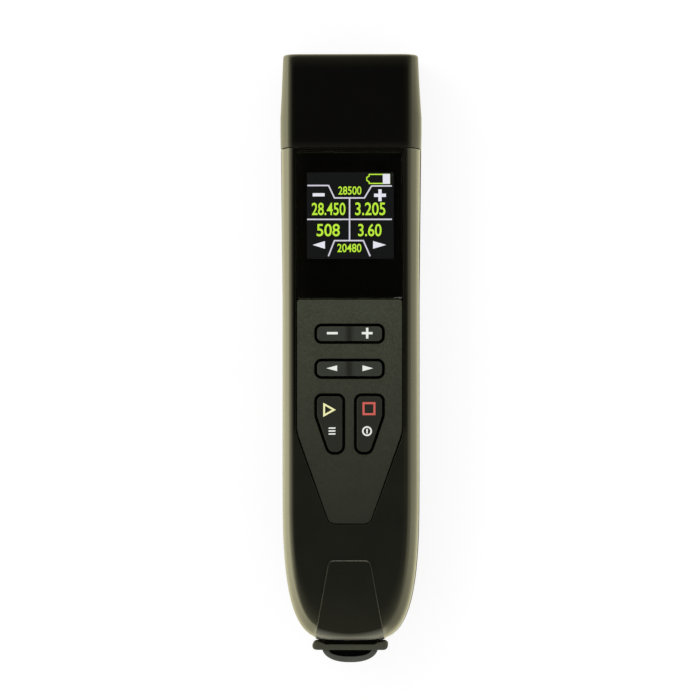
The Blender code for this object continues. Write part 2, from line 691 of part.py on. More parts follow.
def case_solid(low, high, drawn_in, top_y, upper, past=0.0):
    """The upper or lower half of the case's form, over or under the parting plane."""
    rings = [case_ring(z, drawn_in, top_y, side) for z, side in half_levels(low, high, upper, past)]
    return loft(rings, mirrored_caps=True)


def neck_solid(drawn_in, low_y, high_y, upper, past=0.0):
    """Half of the neck's form between two places along Y."""
    rings = []
    for z, side in half_levels(drawn_in, FACE_Z - drawn_in, upper, past):
        x = leaned(HEAD_WIDTH / 2, z) - side - drawn_in
        rings.append([(-x, low_y, z), (x, low_y, z), (x, high_y, z), (-x, high_y, z)])
    return loft(rings)


def hollow(upper):
    """The space inside one half of the case and of its neck, as two solids."""
    past = LIP_HEIGHT + OVER
    body = case_solid(BACK_WALL, CEILING_Z, SIDE_WALL, SEAM_Y - SHOULDER_WALL, upper, past)
    low_y = SEAM_Y - SHOULDER_WALL - 2 * OVER
    neck = neck_solid(NECK_IN + NECK_WALL, low_y, PLATE_LOW_Y, upper, past)
    return body, neck


def end_hollow():
    """The extra height inside the front shell past the panel's pocket."""
    room = case_solid(BACK_WALL, END_CEILING_Z, SIDE_WALL, SEAM_Y - SHOULDER_WALL, True)
    half = HEAD_WIDTH / 2
    reach = box(-half, half, END_Y - OVER, PANEL_END_Y - 2 * OVER, PARTING_Z + END_ROOM_FOOT, FACE_Z)
    return combined(room, "INTERSECT", reach)


def half_shell(upper, drawn_in):
    """One half of the case before it is hollowed: body and neck."""
    body = case_solid(0.0, FACE_Z, drawn_in, SEAM_Y, upper)
    return joined(body, neck_solid(NECK_IN, SEAM_Y - SHOULDER_WALL / 2, NECK_TOP_Y, upper))


def connector_hole():
    """The cut for the connector's thread through the neck plate."""
    radius = THREAD_RADIUS + GAP
    profile = [(radius, PLATE_LOW_Y - OVER), (radius, NECK_TOP_Y + OVER)]
    return turned(profile, (0.0, PARTING_Z), "Y")


def tongue_outline():
    """The tongue's corners, wider towards the end of the case."""
    top = END_Y + TONGUE_LENGTH
    return [
        (TONGUE_TOP_WIDTH / 2, top, TONGUE_CORNER),
        (-TONGUE_TOP_WIDTH / 2, top, TONGUE_CORNER),
        (-TONGUE_END_WIDTH / 2, END_Y - OVER, 0.0),
        (TONGUE_END_WIDTH / 2, END_Y - OVER, 0.0),
    ]


def tongue():
    """The raised tongue, which follows the face a little higher up and walls in the port."""
    levels_of_tongue = half_levels(0.0, FACE_Z + TONGUE_RISE, True, 0.0)
    rings = [case_ring(z, 0.0, SEAM_Y, side * TONGUE_LEAN) for z, side in levels_of_tongue]
    area = prism(outline(tongue_outline()), PARTING_Z + TONGUE_FOOT, FACE_Z + OVER)
    return combined(loft(rings, mirrored_caps=True), "INTERSECT", area)


def plate_corners(top_y):
    """The corners of the pocket's plates, from a top edge down to the narrow end."""
    half = PLATE_WIDTH / 2
    taper_y = PANEL_TOP_Y - PANEL_TAPER_DOWN
    return [
        (half, top_y, PLATE_CORNER),
        (-half, top_y, PLATE_CORNER),
        (-half, taper_y, PANEL_SIDE_CORNER),
        (-PANEL_END_WIDTH / 2, PANEL_END_Y, PANEL_END_CORNER),
        (PANEL_END_WIDTH / 2, PANEL_END_Y, PANEL_END_CORNER),
        (half, taper_y, PANEL_SIDE_CORNER),
    ]


def rocker_corners(down):
    """The corners of a rocker key, its middle this far below the panel's top edge."""
    return rectangle(ROCKER_WIDTH, ROCKER_HEIGHT, ROCKER_CORNER, (0.0, PANEL_TOP_Y - down))


def long_key_corners(side):
    """The corners of the run key (side -1) or the stop key (side 1), anticlockwise."""
    top = PANEL_TOP_Y - LONG_KEY_DOWN
    inner = LONG_KEY_SPREAD
    corners = [
        (inner, top - LONG_KEY_LENGTH, LONG_KEY_FOOT_CORNER),
        (inner + LONG_KEY_FOOT_WIDTH, top - LONG_KEY_LENGTH, LONG_KEY_FOOT_CORNER),
        (inner + LONG_KEY_WIDTH, top - LONG_KEY_STRAIGHT, LONG_KEY_SIDE_CORNER),
        (inner + LONG_KEY_WIDTH, top, LONG_KEY_CORNER),
        (inner, top, LONG_KEY_CORNER),
    ]
    if side > 0:
        return corners
    return [(-x, y, radius) for x, y, radius in reversed(corners)]


def stem_places():
    """The middle of each stem, by key."""
    stem_y = PANEL_TOP_Y - LONG_KEY_DOWN - LONG_KEY_STEM_DOWN
    stem_x = LONG_KEY_SPREAD + LONG_KEY_WIDTH / 2
    return {
        "zoom_rocker": [(side * PILL_SPREAD, PANEL_TOP_Y - ZOOM_DOWN) for side in (-1, 1)],
        "cursor_rocker": [(side * PILL_SPREAD, PANEL_TOP_Y - CURSOR_DOWN) for side in (-1, 1)],
        "run_key": [(-stem_x, stem_y)],
        "stop_key": [(stem_x, stem_y)],
    }


def case_screw_places():
    """The middle of each screw that holds the shells together."""
    upper = SEAM_Y - HEAD_SCREW_DOWN
    lower = END_Y + END_SCREW_UP
    upper_x = half_width(upper) - HEAD_SCREW_IN
    lower_x = BODY_WIDTH / 2 - END_SCREW_IN
    return [(-upper_x, upper), (upper_x, upper), (-lower_x, lower), (lower_x, lower)]


def board_screw_places():
    """The middle of each screw that holds the main board."""
    upper = PANEL_TOP_Y + BOARD_SCREW_UP
    x = half_width(upper) - BOARD_INSET - BOARD_SCREW_IN
    return [(-x, upper), (x, upper), (0.0, END_Y + BOARD_SCREW_END)]


def pillar_places():
    """The middle of each pillar under the radio board."""
    return [
        (side * PILLAR_SPREAD, y)
        for y in (RF_BOARD_TOP_Y - PILLAR_MARGIN, RF_BOARD_END_Y + PILLAR_MARGIN)
        for side in (-1, 1)
    ]


def door_screw_places():
    """The middle of each screw that holds the battery door."""
    return [(side * DOOR_SCREW_SPREAD, DOOR_SCREW_Y) for side in (-1, 1)]


def port_corners(grow, over):
    """The port's opening across X and Z, with room over the plug for its swing."""
    low = PORT_Z - PLUG_HEIGHT / 2 - grow
    high = PORT_Z + PLUG_HEIGHT / 2 + grow + over
    width = PLUG_WIDTH + 2 * grow
    return rectangle(width, high - low, PLUG_CORNER, (0.0, (low + high) / 2))


def lip():
    """The lip under the front shell's edge, still solid across, which drops inside the rear shell."""
    top = SEAM_Y - SHOULDER_WALL - GAP
    levels_of_lip = (PARTING_Z - LIP_HEIGHT, PARTING_Z + OVER / 2)
    return loft([case_ring(z, SIDE_WALL - LIP_WALL, top) for z in levels_of_lip], mirrored_caps=True)


def front_bosses():
    """The columns that take the case screws and the studs that take the board screws.

    The upper pair of columns stands on the side walls and stays under the board. The lower pair
    stands on the face and passes through the board.
    """
    radius = SCREW_RADIUS + BOSS_WALL
    columns = []
    for place in case_screw_places():
        under_board = place[1] > PANEL_TOP_Y
        top = BOARD_LOW_Z - GAP if under_board else settled(place[1], END_CEILING_Z) + OVER
        columns.append(pin(radius, place, PARTING_Z + GAP, top))
    studs = []
    for place in board_screw_places():
        top = CEILING_Z if place[1] > PANEL_END_Y else END_CEILING_Z
        studs.append(pin(radius, place, BOARD_TOP_Z + GAP, top + OVER))
    return merged(columns + studs)


def front_shell():
    """The front half of the case: face, pocket, tongue, screw bosses, lip and port."""
    shape = joined(half_shell(True, RIM_PROUD), tongue(), lip())
    shape = joined(cut(shape, *hollow(True), end_hollow()), front_bosses())
    pocket = prism(outline(plate_corners(WINDOW_TOP_Y), GAP), POCKET_Z, FACE_Z + OVER)
    shape = cut(shape, pocket, lcd_hole(), merged(key_holes()), ear_seats())
    return cut(shape, merged(front_screw_holes()), connector_hole(), port_hole())


def lcd_hole():
    """The opening of the pocket's floor for the display's frame."""
    grow = GAP + LCD_FRAME_WALL + GAP
    shape = rectangle(LCD_WIDTH, LCD_LENGTH, 0.0, (0.0, LCD_Y))
    return prism(outline(shape, grow, 1), CEILING_Z - OVER, POCKET_Z + OVER)


def key_holes():
    """The openings of the pocket's floor for the keys."""
    low = CEILING_Z - OVER
    high = POCKET_Z + OVER
    holes = []
    for down in (ZOOM_DOWN, CURSOR_DOWN):
        holes.append(prism(outline(rocker_corners(down), GAP + KEY_GAP), low, high))
    for side in (-1, 1):
        holes.append(prism(outline(long_key_corners(side), KEY_FLANGE_REACH + GAP), low, high))
    return holes


def ear_seats():
    """The seats in the pocket's floor that the rockers' ears rest on."""
    seats = []
    half_x = ROCKER_EAR_WIDTH / 2 + GAP
    low = FLANGE_LOW_Z - GAP
    for down in (ZOOM_DOWN, CURSOR_DOWN):
        y = PANEL_TOP_Y - down
        seats.append(box(-half_x, half_x, y - SEAT_REACH, y + SEAT_REACH, low, POCKET_Z + OVER))
    return merged(seats)


def front_screw_holes():
    """The blind holes of the case screws and of the board screws."""
    radius = SCREW_RADIUS + SCREW_FIT
    tip = SCREW_SEAT_Z + SCREW_LENGTH + GAP
    holes = [pin(radius, place, PARTING_Z - LIP_HEIGHT - OVER, tip) for place in case_screw_places()]
    board_tip = BOARD_LOW_Z - GAP + BOARD_SCREW_LENGTH + GAP
    holes += [pin(radius, place, BOARD_TOP_Z - OVER, board_tip) for place in board_screw_places()]
    return holes


def port_hole():
    """The opening of the end wall for the USB plug and the cover's plug."""
    shape = outline(port_corners(PLUG_FIT, PLUG_SWING_FIT))
    return prism_along_y(shape, END_Y - OVER, END_Y + END_CUT)


def rear_bosses():
    """The columns round the case screws, and the pillars under the radio board and over the door screws."""
    bosses = []
    for place in case_screw_places():
        low = settled(place[1], BACK_WALL) - OVER
        bosses.append(pin(SCREW_HEAD_RADIUS + GAP + BOSS_WALL, place, low, SCREW_SEAT_Z + 2 * BOSS_WALL))
    low = BACK_WALL - OVER
    bosses += [pin(PILLAR_RADIUS, place, low, RF_BOARD_LOW_Z - GAP) for place in pillar_places()]
    high = DOOR_THICK + DOOR_SCREW_LENGTH + BOSS_WALL
    bosses += [pin(SCREW_RADIUS + BOSS_WALL, place, low, high) for place in door_screw_places()]
    within = case_solid(BACK_WALL - OVER, FACE_Z, SIDE_WALL / 2, SEAM_Y - SHOULDER_WALL / 2, False)
    return combined(merged(bosses), "INTERSECT", within)


def rear_shell():
    """The rear half of the case: back, battery bay, bosses, rebate and the tether's slot."""
    shape = cut(half_shell(False, 0.0), *hollow(False))
    shape = joined(shape, rear_bosses())
    skim = box(-HEAD_WIDTH, HEAD_WIDTH, END_Y - OVER, TOP_Y, PARTING_Z - SHELL_GAP, PARTING_Z + OVER)
    shape = cut(shape, skim, rebate(), door_recess())
    return cut(shape, merged(rear_screw_holes()), connector_hole(), tether_slot())


def rebate():
    """The step inside the rear shell's edge that the front shell's lip drops into."""
    drawn_in = SIDE_WALL - LIP_WALL - GAP
    low = PARTING_Z - LIP_HEIGHT - GAP
    top = SEAM_Y - SHOULDER_WALL
    return loft([case_ring(z, drawn_in, top) for z in (low, PARTING_Z + OVER)], True)


def door_recess():
    """The door's seat in the back, and the bay's opening through it, in one stepped solid."""
    seat = rectangle(
        BAY_WIDTH + 2 * DOOR_LEDGE,
        DOOR_TOP_Y - DOOR_END_Y,
        DOOR_CORNER,
        (0.0, (DOOR_TOP_Y + DOOR_END_Y) / 2),
    )
    recess = prism(outline(seat, GAP), -OVER, DOOR_THICK + GAP)
    opening = box(-BAY_WIDTH / 2, BAY_WIDTH / 2, BAY_END_Y, BAY_TOP_Y, DOOR_THICK, BACK_WALL + OVER)
    return joined(recess, opening)


def rear_screw_holes():
    """The holes of the case screws with their heads, of the pillars and of the door screws."""
    radius = SCREW_RADIUS + SCREW_FIT
    head = SCREW_HEAD_RADIUS + GAP
    holes = []
    for place in case_screw_places():
        profile = [(head, -OVER), (head, SCREW_SEAT_Z), (radius, SCREW_SEAT_Z), (radius, PARTING_Z + OVER)]
        holes.append(turned(profile, place, "Z", SMALL_SIDES))
    low = RF_BOARD_TOP_Z + GAP - RF_SCREW_LENGTH - GAP
    holes += [pin(radius, place, low, RF_BOARD_LOW_Z) for place in pillar_places()]
    high = DOOR_THICK + DOOR_SCREW_LENGTH
    holes += [pin(radius, place, DOOR_THICK, high) for place in door_screw_places()]
    return holes


def tether_slot():
    """The slot in the end wall that the cover's tether passes through."""
    z = PARTING_Z - TETHER_DROP
    half = TETHER_WIDTH / 2 + GAP
    high = TETHER_THICK / 2 + GAP
    return box(-half, half, END_Y - OVER, END_Y + END_CUT, z - high, z + high)


def cap_ring(y, half, drawn_in, lean=0.0):
    """The cap's section at a place along Y, which may lean back towards the face."""
    right = []
    for z, side in levels(drawn_in, FACE_Z - drawn_in):
        back = lean * max(0.0, (z - PARTING_Z) / (FACE_Z - PARTING_Z))
        right.append((leaned(half, z) - side - drawn_in, y - back, z))
    return right + [(-x, place, z) for x, place, z in reversed(right)]


def cap_half(y):
    """Half the cap's width, which swells a little over the seam and narrows to its end."""
    up = y - SEAM_Y
    if up < CAP_TAPER_UP:
        return HEAD_WIDTH / 2 + CAP_BELLY * math.sin(math.pi / 2 * min(1.0, up / CAP_BELLY_UP))
    share = (up - CAP_TAPER_UP) / (CAP_LENGTH - CAP_TAPER_UP)
    widest = HEAD_WIDTH / 2 + CAP_BELLY
    return widest + (CAP_END_WIDTH / 2 - widest) * share**CAP_TAPER_POWER


def connector_cap():
    """The cap that covers the connector: a hollow box with a closed end."""
    low = SEAM_Y + CAP_TRAVEL_FIT
    edge_y = TOP_Y - CAP_EDGE
    stations = [low, SEAM_Y + CAP_BELLY_UP, SEAM_Y + CAP_TAPER_UP]
    stations += [SEAM_Y + CAP_TAPER_UP + (edge_y - SEAM_Y - CAP_TAPER_UP) * k / 3 for k in (1, 2)]
    rings = [cap_ring(y, cap_half(y), 0.0) for y in stations]
    for k in (0, 1, 2):
        angle = math.pi / 2 * k / 2
        y = edge_y + CAP_EDGE * math.sin(angle)
        rings.append(cap_ring(y, cap_half(edge_y), CAP_EDGE * (1 - math.cos(angle)), CAP_END_LEAN))
    inner_end = TOP_Y - CAP_END_WALL
    neck_clear = SEAM_Y + NECK_HEIGHT + OVER
    inner = [cap_ring(y, HEAD_WIDTH / 2, CAP_WALL) for y in (low - OVER, neck_clear)]
    inner += [cap_ring(y, cap_half(y), CAP_WALL) for y in (SEAM_Y + CAP_TAPER_UP + 2 * OVER, inner_end)]
    return cut(loft(rings, mirrored_caps=True), loft(inner))


def key_panel():
    """The key panel with the keys' openings."""
    plate = prism(outline(plate_corners(PANEL_TOP_Y)), PLATE_LOW_Z, PLATE_TOP_Z)
    shapes = [rocker_corners(down) for down in (ZOOM_DOWN, CURSOR_DOWN)]
    shapes += [long_key_corners(side) for side in (-1, 1)]
    holes = [prism(outline(shape, KEY_GAP), PLATE_LOW_Z - OVER, PLATE_TOP_Z + OVER) for shape in shapes]
    return cut(plate, merged(holes))


def display_window():
    """The glossy plate over the display."""
    middle = (0.0, WINDOW_TOP_Y - WINDOW_LENGTH / 2)
    shape = rectangle(PLATE_WIDTH, WINDOW_LENGTH, PLATE_CORNER, middle)
    return prism(outline(shape), PLATE_LOW_Z, PLATE_TOP_Z)


def key_top(corners, levels_of_key):
    """A key's body through levels of (height, how far it is grown)."""
    rings = []
    for z, grow in levels_of_key:
        rings.append([(x, y, z) for x, y in outline(corners, grow)])
    return loft(rings)


def rounded_top():
    """The levels of a key's rounded upper edge."""
    return [
        (KEY_TOP_Z - KEY_EDGE, 0.0),
        (KEY_TOP_Z - KEY_EDGE * (1 - math.sin(math.pi / 4)), -KEY_EDGE * (1 - math.cos(math.pi / 4))),
        (KEY_TOP_Z, -KEY_EDGE),
    ]


def rocker(down, stems):
    """A rocker key: a bar with two ears that it tilts on and a stem under each end."""
    y = PANEL_TOP_Y - down
    body = key_top(rocker_corners(down), [(FLANGE_LOW_Z, 0.0)] + rounded_top())
    half = ROCKER_EAR_WIDTH / 2
    ears = box(-half, half, y - EAR_REACH, y + EAR_REACH, FLANGE_LOW_Z, FLANGE_TOP_Z)
    legs = [pin(STEM_RADIUS, place, STEM_LOW_Z, FLANGE_LOW_Z + OVER) for place in stems]
    return joined(body, ears, merged(legs))


def long_key(side, stems):
    """A long key: a cap with a flange that the panel holds down and a stem under it."""
    flange = [(FLANGE_LOW_Z, KEY_FLANGE_REACH), (FLANGE_TOP_Z, KEY_FLANGE_REACH), (FLANGE_TOP_Z, 0.0)]
    body = key_top(long_key_corners(side), flange + rounded_top())
    return joined(body, pin(STEM_RADIUS, stems[0], STEM_LOW_Z, FLANGE_LOW_Z + OVER))


def keypad_mat():
    """The sheet between the keys and the board, with a hole for each stem."""
    top = PANEL_TOP_Y - MAT_TOP_MARGIN
    low = PANEL_TOP_Y - LONG_KEY_DOWN - MAT_END_MARGIN
    middle = (0.0, (top + low) / 2)
    width = PLATE_WIDTH - 2 * MAT_INSET
    shape = rectangle(width, top - low, PLATE_CORNER, middle)
    sheet = prism(outline(shape), MAT_LOW_Z, MAT_LOW_Z + MAT_THICK)
    holes = []
    for places in stem_places().values():
        for place in places:
            holes.append(pin(STEM_RADIUS + 2 * GAP, place, MAT_LOW_Z - OVER, MAT_LOW_Z + 2 * OVER))
    return cut(sheet, merged(holes))


def keys():
    """The four keys with their pills, each on its joint."""
    middle_z = (FLANGE_LOW_Z + FLANGE_TOP_Z) / 2
    places = stem_places()
    carriers = {
        "zoom_rocker": joint("zoom_rocker_axis", (0.0, PANEL_TOP_Y - ZOOM_DOWN, middle_z)),
        "cursor_rocker": joint("cursor_rocker_axis", (0.0, PANEL_TOP_Y - CURSOR_DOWN, middle_z)),
        "run_key": joint("run_key_axis", (*places["run_key"][0], middle_z)),
        "stop_key": joint("stop_key_axis", (*places["stop_key"][0], middle_z)),
    }
    piece("zoom_rocker", rocker(ZOOM_DOWN, places["zoom_rocker"]), KEY_GREY, carriers["zoom_rocker"])
    piece("cursor_rocker", rocker(CURSOR_DOWN, places["cursor_rocker"]), KEY_GREY, carriers["cursor_rocker"])
    piece("run_key", long_key(-1, places["run_key"]), KEY_GREY, carriers["run_key"])
    piece("stop_key", long_key(1, places["stop_key"]), KEY_GREY, carriers["stop_key"])
    names = {
        "zoom_rocker": ["zoom_out_pill", "zoom_in_pill"],
        "cursor_rocker": ["cursor_left_pill", "cursor_right_pill"],
        "run_key": ["run_pill"],
        "stop_key": ["stop_pill"],
    }
    for key, pill_names in names.items():
        for name, place in zip(pill_names, places[key]):
            shape = pin(PILL_RADIUS, place, PILL_LOW_Z, PILL_LOW_Z + PILL_THICK)
            piece(name, shape, CARBON, carriers[key])


def lcd_module():
    """The display itself, glass and backlight."""
    shape = rectangle(LCD_WIDTH, LCD_LENGTH, 0.0, (0.0, LCD_Y))
    return prism(outline(shape, 0.0, 1), LCD_LOW_Z, LCD_TOP_Z)


def lcd_frame():
    """The metal frame round the display, notched for the flex."""
    shape = rectangle(LCD_WIDTH, LCD_LENGTH, 0.0, (0.0, LCD_Y))
    low = BOARD_TOP_Z + GAP
    outer = prism(outline(shape, GAP + LCD_FRAME_WALL, 1), low, LCD_TOP_Z)
    inner = prism(outline(shape, GAP, 1), low - OVER, LCD_TOP_Z + OVER)
    end = LCD_Y - LCD_LENGTH / 2
    half = FLEX_WIDTH / 2 + GAP
    notch = box(-half, half, end - 3 * OVER, end + OVER, low - OVER, low + FLEX_THICK + GAP)
    return cut(outer, inner, notch)


def lcd_flex():
    """The flex that leads from under the display to the board."""
    end = LCD_Y - LCD_LENGTH / 2
    low = BOARD_TOP_Z + GAP
    half = FLEX_WIDTH / 2
    return box(-half, half, end - FLEX_OUTSIDE, end + FLEX_INSIDE, low, low + FLEX_THICK)


def main_board():
    """The main board, which follows the case and leaves room for its screws."""
    top = SEAM_Y - SHOULDER_WALL - 2 * GAP
    shape = [(x, y) for x, y, _ in case_ring(BOARD_LOW_Z, BOARD_INSET, top)]
    board = prism(shape, BOARD_LOW_Z, BOARD_TOP_Z)
    radius = SCREW_RADIUS + SCREW_FIT
    low = BOARD_LOW_Z - OVER
    high = BOARD_TOP_Z + OVER
    holes = [pin(radius, place, low, high) for place in board_screw_places()]
    radius = SCREW_RADIUS + BOSS_WALL + GAP
    holes += [pin(radius, place, low, high) for place in case_screw_places() if place[1] < PANEL_TOP_Y]
    return cut(board, merged(holes))


def processor_chip():
    """The processor, under the main board."""
    half = PROCESSOR_SIDE / 2
    high = BOARD_LOW_Z - GAP
    return box(-half, half, PROCESSOR_Y - half, PROCESSOR_Y + half, high - PROCESSOR_THICK, high)


def board_header():
    """The header that joins the radio board to the main board."""
    half = HEADER_WIDTH / 2
    low = RF_BOARD_END_Y + HEADER_MARGIN
    return box(-half, half, low, low + HEADER_LENGTH, RF_BOARD_TOP_Z + GAP, BOARD_LOW_Z - GAP)


def radio_board():
    """The radio board, on its four pillars."""
    middle = (0.0, (RF_BOARD_TOP_Y + RF_BOARD_END_Y) / 2)
    shape = rectangle(RF_BOARD_WIDTH, RF_BOARD_LENGTH, 0.0, middle)
    board = prism(outline(shape, 0.0, 1), RF_BOARD_LOW_Z, RF_BOARD_TOP_Z)
    radius = SCREW_RADIUS + SCREW_FIT
    holes = [pin(radius, place, RF_BOARD_LOW_Z - OVER, RF_BOARD_TOP_Z + OVER) for place in pillar_places()]
    return cut(board, merged(holes))


def shield_can():
    """The shielding can over the radio circuit, open below."""
    top = RF_BOARD_TOP_Y - SHIELD_DOWN
    low = RF_BOARD_TOP_Z + GAP
    half = SHIELD_WIDTH / 2
    outer = box(-half, half, top - SHIELD_LENGTH, top, low, low + SHIELD_HEIGHT)
    inner_half = half - SHIELD_WALL
    inner = box(
        -inner_half,
        inner_half,
        top - SHIELD_LENGTH + SHIELD_WALL,
        top - SHIELD_WALL,
        low - OVER,
        low + SHIELD_HEIGHT - SHIELD_WALL,
    )
    return cut(outer, inner)


def battery_cell():
    """The cell, its positive end towards the connector."""
    profile = [
        (CELL_RADIUS - CELL_EDGE, CELL_END_Y),
        (CELL_RADIUS, CELL_END_Y + CELL_EDGE),
        (CELL_RADIUS, CELL_TOP_Y - CELL_EDGE),
        (CELL_RADIUS - CELL_EDGE, CELL_TOP_Y),
        (CELL_BUTTON_RADIUS, CELL_TOP_Y),
        (CELL_BUTTON_RADIUS, CELL_TOP_Y + CELL_BUTTON_HEIGHT),
    ]
    return turned(profile, (0.0, CELL_Z), "Y")


def battery_cradle():
    """The cradle over the cell, open towards the door and notched for the door's hooks."""
    half = CELL_RADIUS + GAP + CRADLE_WALL
    low = BACK_WALL + GAP
    high = CRADLE_TOP_Z
    outer = box(-half, half, BAY_END_Y - CRADLE_END, BAY_TOP_Y + CRADLE_END, low, high)
    inner = box(-CELL_RADIUS - GAP, CELL_RADIUS + GAP, BAY_END_Y, BAY_TOP_Y, low - OVER, high - CRADLE_WALL)
    notches = []
    for side in (-1, 1):
        x = side * HOOK_SPREAD
        reach = HOOK_WIDTH / 2 + GAP
        notch_high = low + HOOK_THICK + 2 * GAP
        ends = (BAY_END_Y - CRADLE_END - OVER, BAY_END_Y + OVER)
        notches.append(box(x - reach, x + reach, *ends, low - OVER, notch_high))
    return cut(outer, inner, merged(notches))


def battery_plus_contact():
    """The flat contact at the cell's button."""
    low = BAY_TOP_Y - GAP - CONTACT_THICK
    half = CONTACT_WIDTH / 2
    high = CELL_Z + CONTACT_HEIGHT / 2
    return box(-half, half, low, low + CONTACT_THICK, CELL_Z - CONTACT_HEIGHT / 2, high)


def battery_minus_contact():
    """The leaf spring at the cell's flat end, bent towards the cell."""
    back = BAY_END_Y + GAP
    tip = CELL_END_Y - GAP
    low = CELL_Z - CONTACT_HEIGHT / 2
    high = CELL_Z + CONTACT_HEIGHT / 2
    shape = [
        (back, low),
        (back + CONTACT_THICK, low),
        (back + CONTACT_THICK, CELL_Z - CONTACT_HEIGHT / 4),
        (tip, CELL_Z),
        (back + CONTACT_THICK, CELL_Z + CONTACT_HEIGHT / 4),
        (back + CONTACT_THICK, high),
        (back, high),
        (back, CELL_Z + CONTACT_HEIGHT / 4),
        (tip - CONTACT_THICK, CELL_Z),
        (back, CELL_Z - CONTACT_HEIGHT / 4),
    ]
    return prism_along_x(shape, -CONTACT_WIDTH / 2, CONTACT_WIDTH / 2)


def battery_door():
    """The door in the back, with its two hooks and its screw holes."""
    middle = (0.0, (DOOR_TOP_Y + DOOR_END_Y) / 2)
    shape = rectangle(BAY_WIDTH + 2 * DOOR_LEDGE, DOOR_TOP_Y - DOOR_END_Y, DOOR_CORNER, middle)
    door = prism(outline(shape), 0.0, DOOR_THICK)
    low = BACK_WALL + GAP
    foot = BAY_END_Y + GAP
    hooks = []
    for side in (-1, 1):
        x = side * HOOK_SPREAD
        hook = [
            (foot, DOOR_THICK - OVER),
            (foot + HOOK_THICK, DOOR_THICK - OVER),
            (foot + HOOK_THICK, low + HOOK_THICK),
            (foot - GAP - HOOK_REACH, low + HOOK_THICK),
            (foot - GAP - HOOK_REACH, low),
            (foot, low),
        ]
        hooks.append(prism_along_x(hook, x - HOOK_WIDTH / 2, x + HOOK_WIDTH / 2))
    holes = []
    radius = SCREW_RADIUS + SCREW_FIT
    head = SCREW_HEAD_RADIUS + GAP
    for place in door_screw_places():
        seat = DOOR_HEAD_SEAT
        profile = [(head, -OVER), (head, seat), (radius, seat), (radius, DOOR_THICK + OVER)]
        holes.append(turned(profile, place, "Z", SMALL_SIDES))
    return cut(joined(door, merged(hooks)), merged(holes))


def screw(place, head_z, length, head_height, upwards):
    """A pan head screw with a slot; its head starts at a height and its thread runs up or down."""
    way = 1 if upwards else -1
    under = head_z + way * head_height
    profile = [
        (SCREW_HEAD_RADIUS - SCREW_EDGE, head_z),
        (SCREW_HEAD_RADIUS, head_z + way * SCREW_EDGE),
        (SCREW_HEAD_RADIUS, under),
        (SCREW_RADIUS, under),
        (SCREW_RADIUS, under + way * (length - SCREW_RADIUS)),
        (SCREW_TIP_RADIUS, under + way * length),
    ]
    shape = turned(profile, place, "Z", SMALL_SIDES)
    x, y = place
    ends = sorted((head_z - way * OVER, head_z + way * min(SCREW_SLOT_DEPTH, head_height / 2)))
    half = SCREW_SLOT_WIDTH / 2
    return cut(shape, box(x - 2 * SCREW_HEAD_RADIUS, x + 2 * SCREW_HEAD_RADIUS, y - half, y + half, *ends))


def screws():
    """Every screw in the object."""
    head_z = SCREW_SEAT_Z - GAP - SCREW_HEAD_HEIGHT
    for i, place in enumerate(case_screw_places()):
        shape = screw(place, head_z, SCREW_LENGTH, SCREW_HEAD_HEIGHT, True)
        piece(f"case_screw_{i + 1}", shape, SCREW_STEEL)
    head_z = BOARD_LOW_Z - GAP - SCREW_HEAD_HEIGHT
    for i, place in enumerate(board_screw_places()):
        shape = screw(place, head_z, BOARD_SCREW_LENGTH, SCREW_HEAD_HEIGHT, True)
        piece(f"board_screw_{i + 1}", shape, SCREW_STEEL)
    head_z = RF_BOARD_TOP_Z + GAP + SCREW_HEAD_HEIGHT
    for i, place in enumerate(pillar_places()):
        shape = screw(place, head_z, RF_SCREW_LENGTH, SCREW_HEAD_HEIGHT, False)
        piece(f"radio_screw_{i + 1}", shape, SCREW_STEEL)
    for i, place in enumerate(door_screw_places()):
        shape = screw(place, 0.0, DOOR_SCREW_LENGTH, DOOR_HEAD_SEAT - GAP, True)
        piece(f"door_screw_{i + 1}", shape, SCREW_STEEL)


def connector_body():
    """The connector's body: thread, socket, flange and tail."""
    flange_low = FLANGE_TOP_Y - FLANGE_THICK
    hole = INSULATOR_RADIUS + GAP
    profile = [(hole, TAIL_END_Y), (TAIL_RADIUS, TAIL_END_Y), (TAIL_RADIUS, flange_low)]
    profile += [(FLANGE_RADIUS, flange_low), (FLANGE_RADIUS, FLANGE_TOP_Y), (THREAD_RADIUS, FLANGE_TOP_Y)]
    start = CONNECTOR_TOP_Y - (THREAD_TURNS + 0.5) * THREAD_PITCH
    for turn in range(THREAD_TURNS):
        y = start + turn * THREAD_PITCH
        profile.append((THREAD_RADIUS, y))
        profile.append((THREAD_RADIUS - THREAD_DEPTH, y + THREAD_PITCH / 2))
    profile += [
        (THREAD_RADIUS, CONNECTOR_TOP_Y - THREAD_PITCH / 2),
        (THREAD_RADIUS - THREAD_DEPTH, CONNECTOR_TOP_Y),
        (SOCKET_BORE_RADIUS, CONNECTOR_TOP_Y),
        (SOCKET_BORE_RADIUS, SOCKET_END_Y),
        (hole, SOCKET_END_Y),
    ]
    return turned(profile, (0.0, PARTING_Z), "Y", bored=True)


def connector_insulator():
    """The insulator between body and pin."""
    bore = PIN_RADIUS + GAP
    low = TAIL_END_Y + GAP
    profile = [(bore, low), (INSULATOR_RADIUS, low), (INSULATOR_RADIUS, SOCKET_END_Y), (bore, SOCKET_END_Y)]
    return turned(profile, (0.0, PARTING_Z), "Y", PIN_SIDES, bored=True)


def connector_pin():
    """The centre contact: a tail for the board and a split tip with a bore."""
    tip = SOCKET_END_Y + GAP
    top = tip + PIN_TIP_LENGTH
    floor = top - PIN_BORE_DEPTH
    profile = [
        (PIN_RADIUS, TAIL_END_Y - PIN_TAIL),
        (PIN_RADIUS, tip),
        (PIN_TIP_RADIUS, tip),
        (PIN_TIP_RADIUS, top),
        (PIN_BORE_RADIUS, top),
        (PIN_BORE_RADIUS, floor),
    ]
    return turned(profile, (0.0, PARTING_Z), "Y", PIN_SIDES)


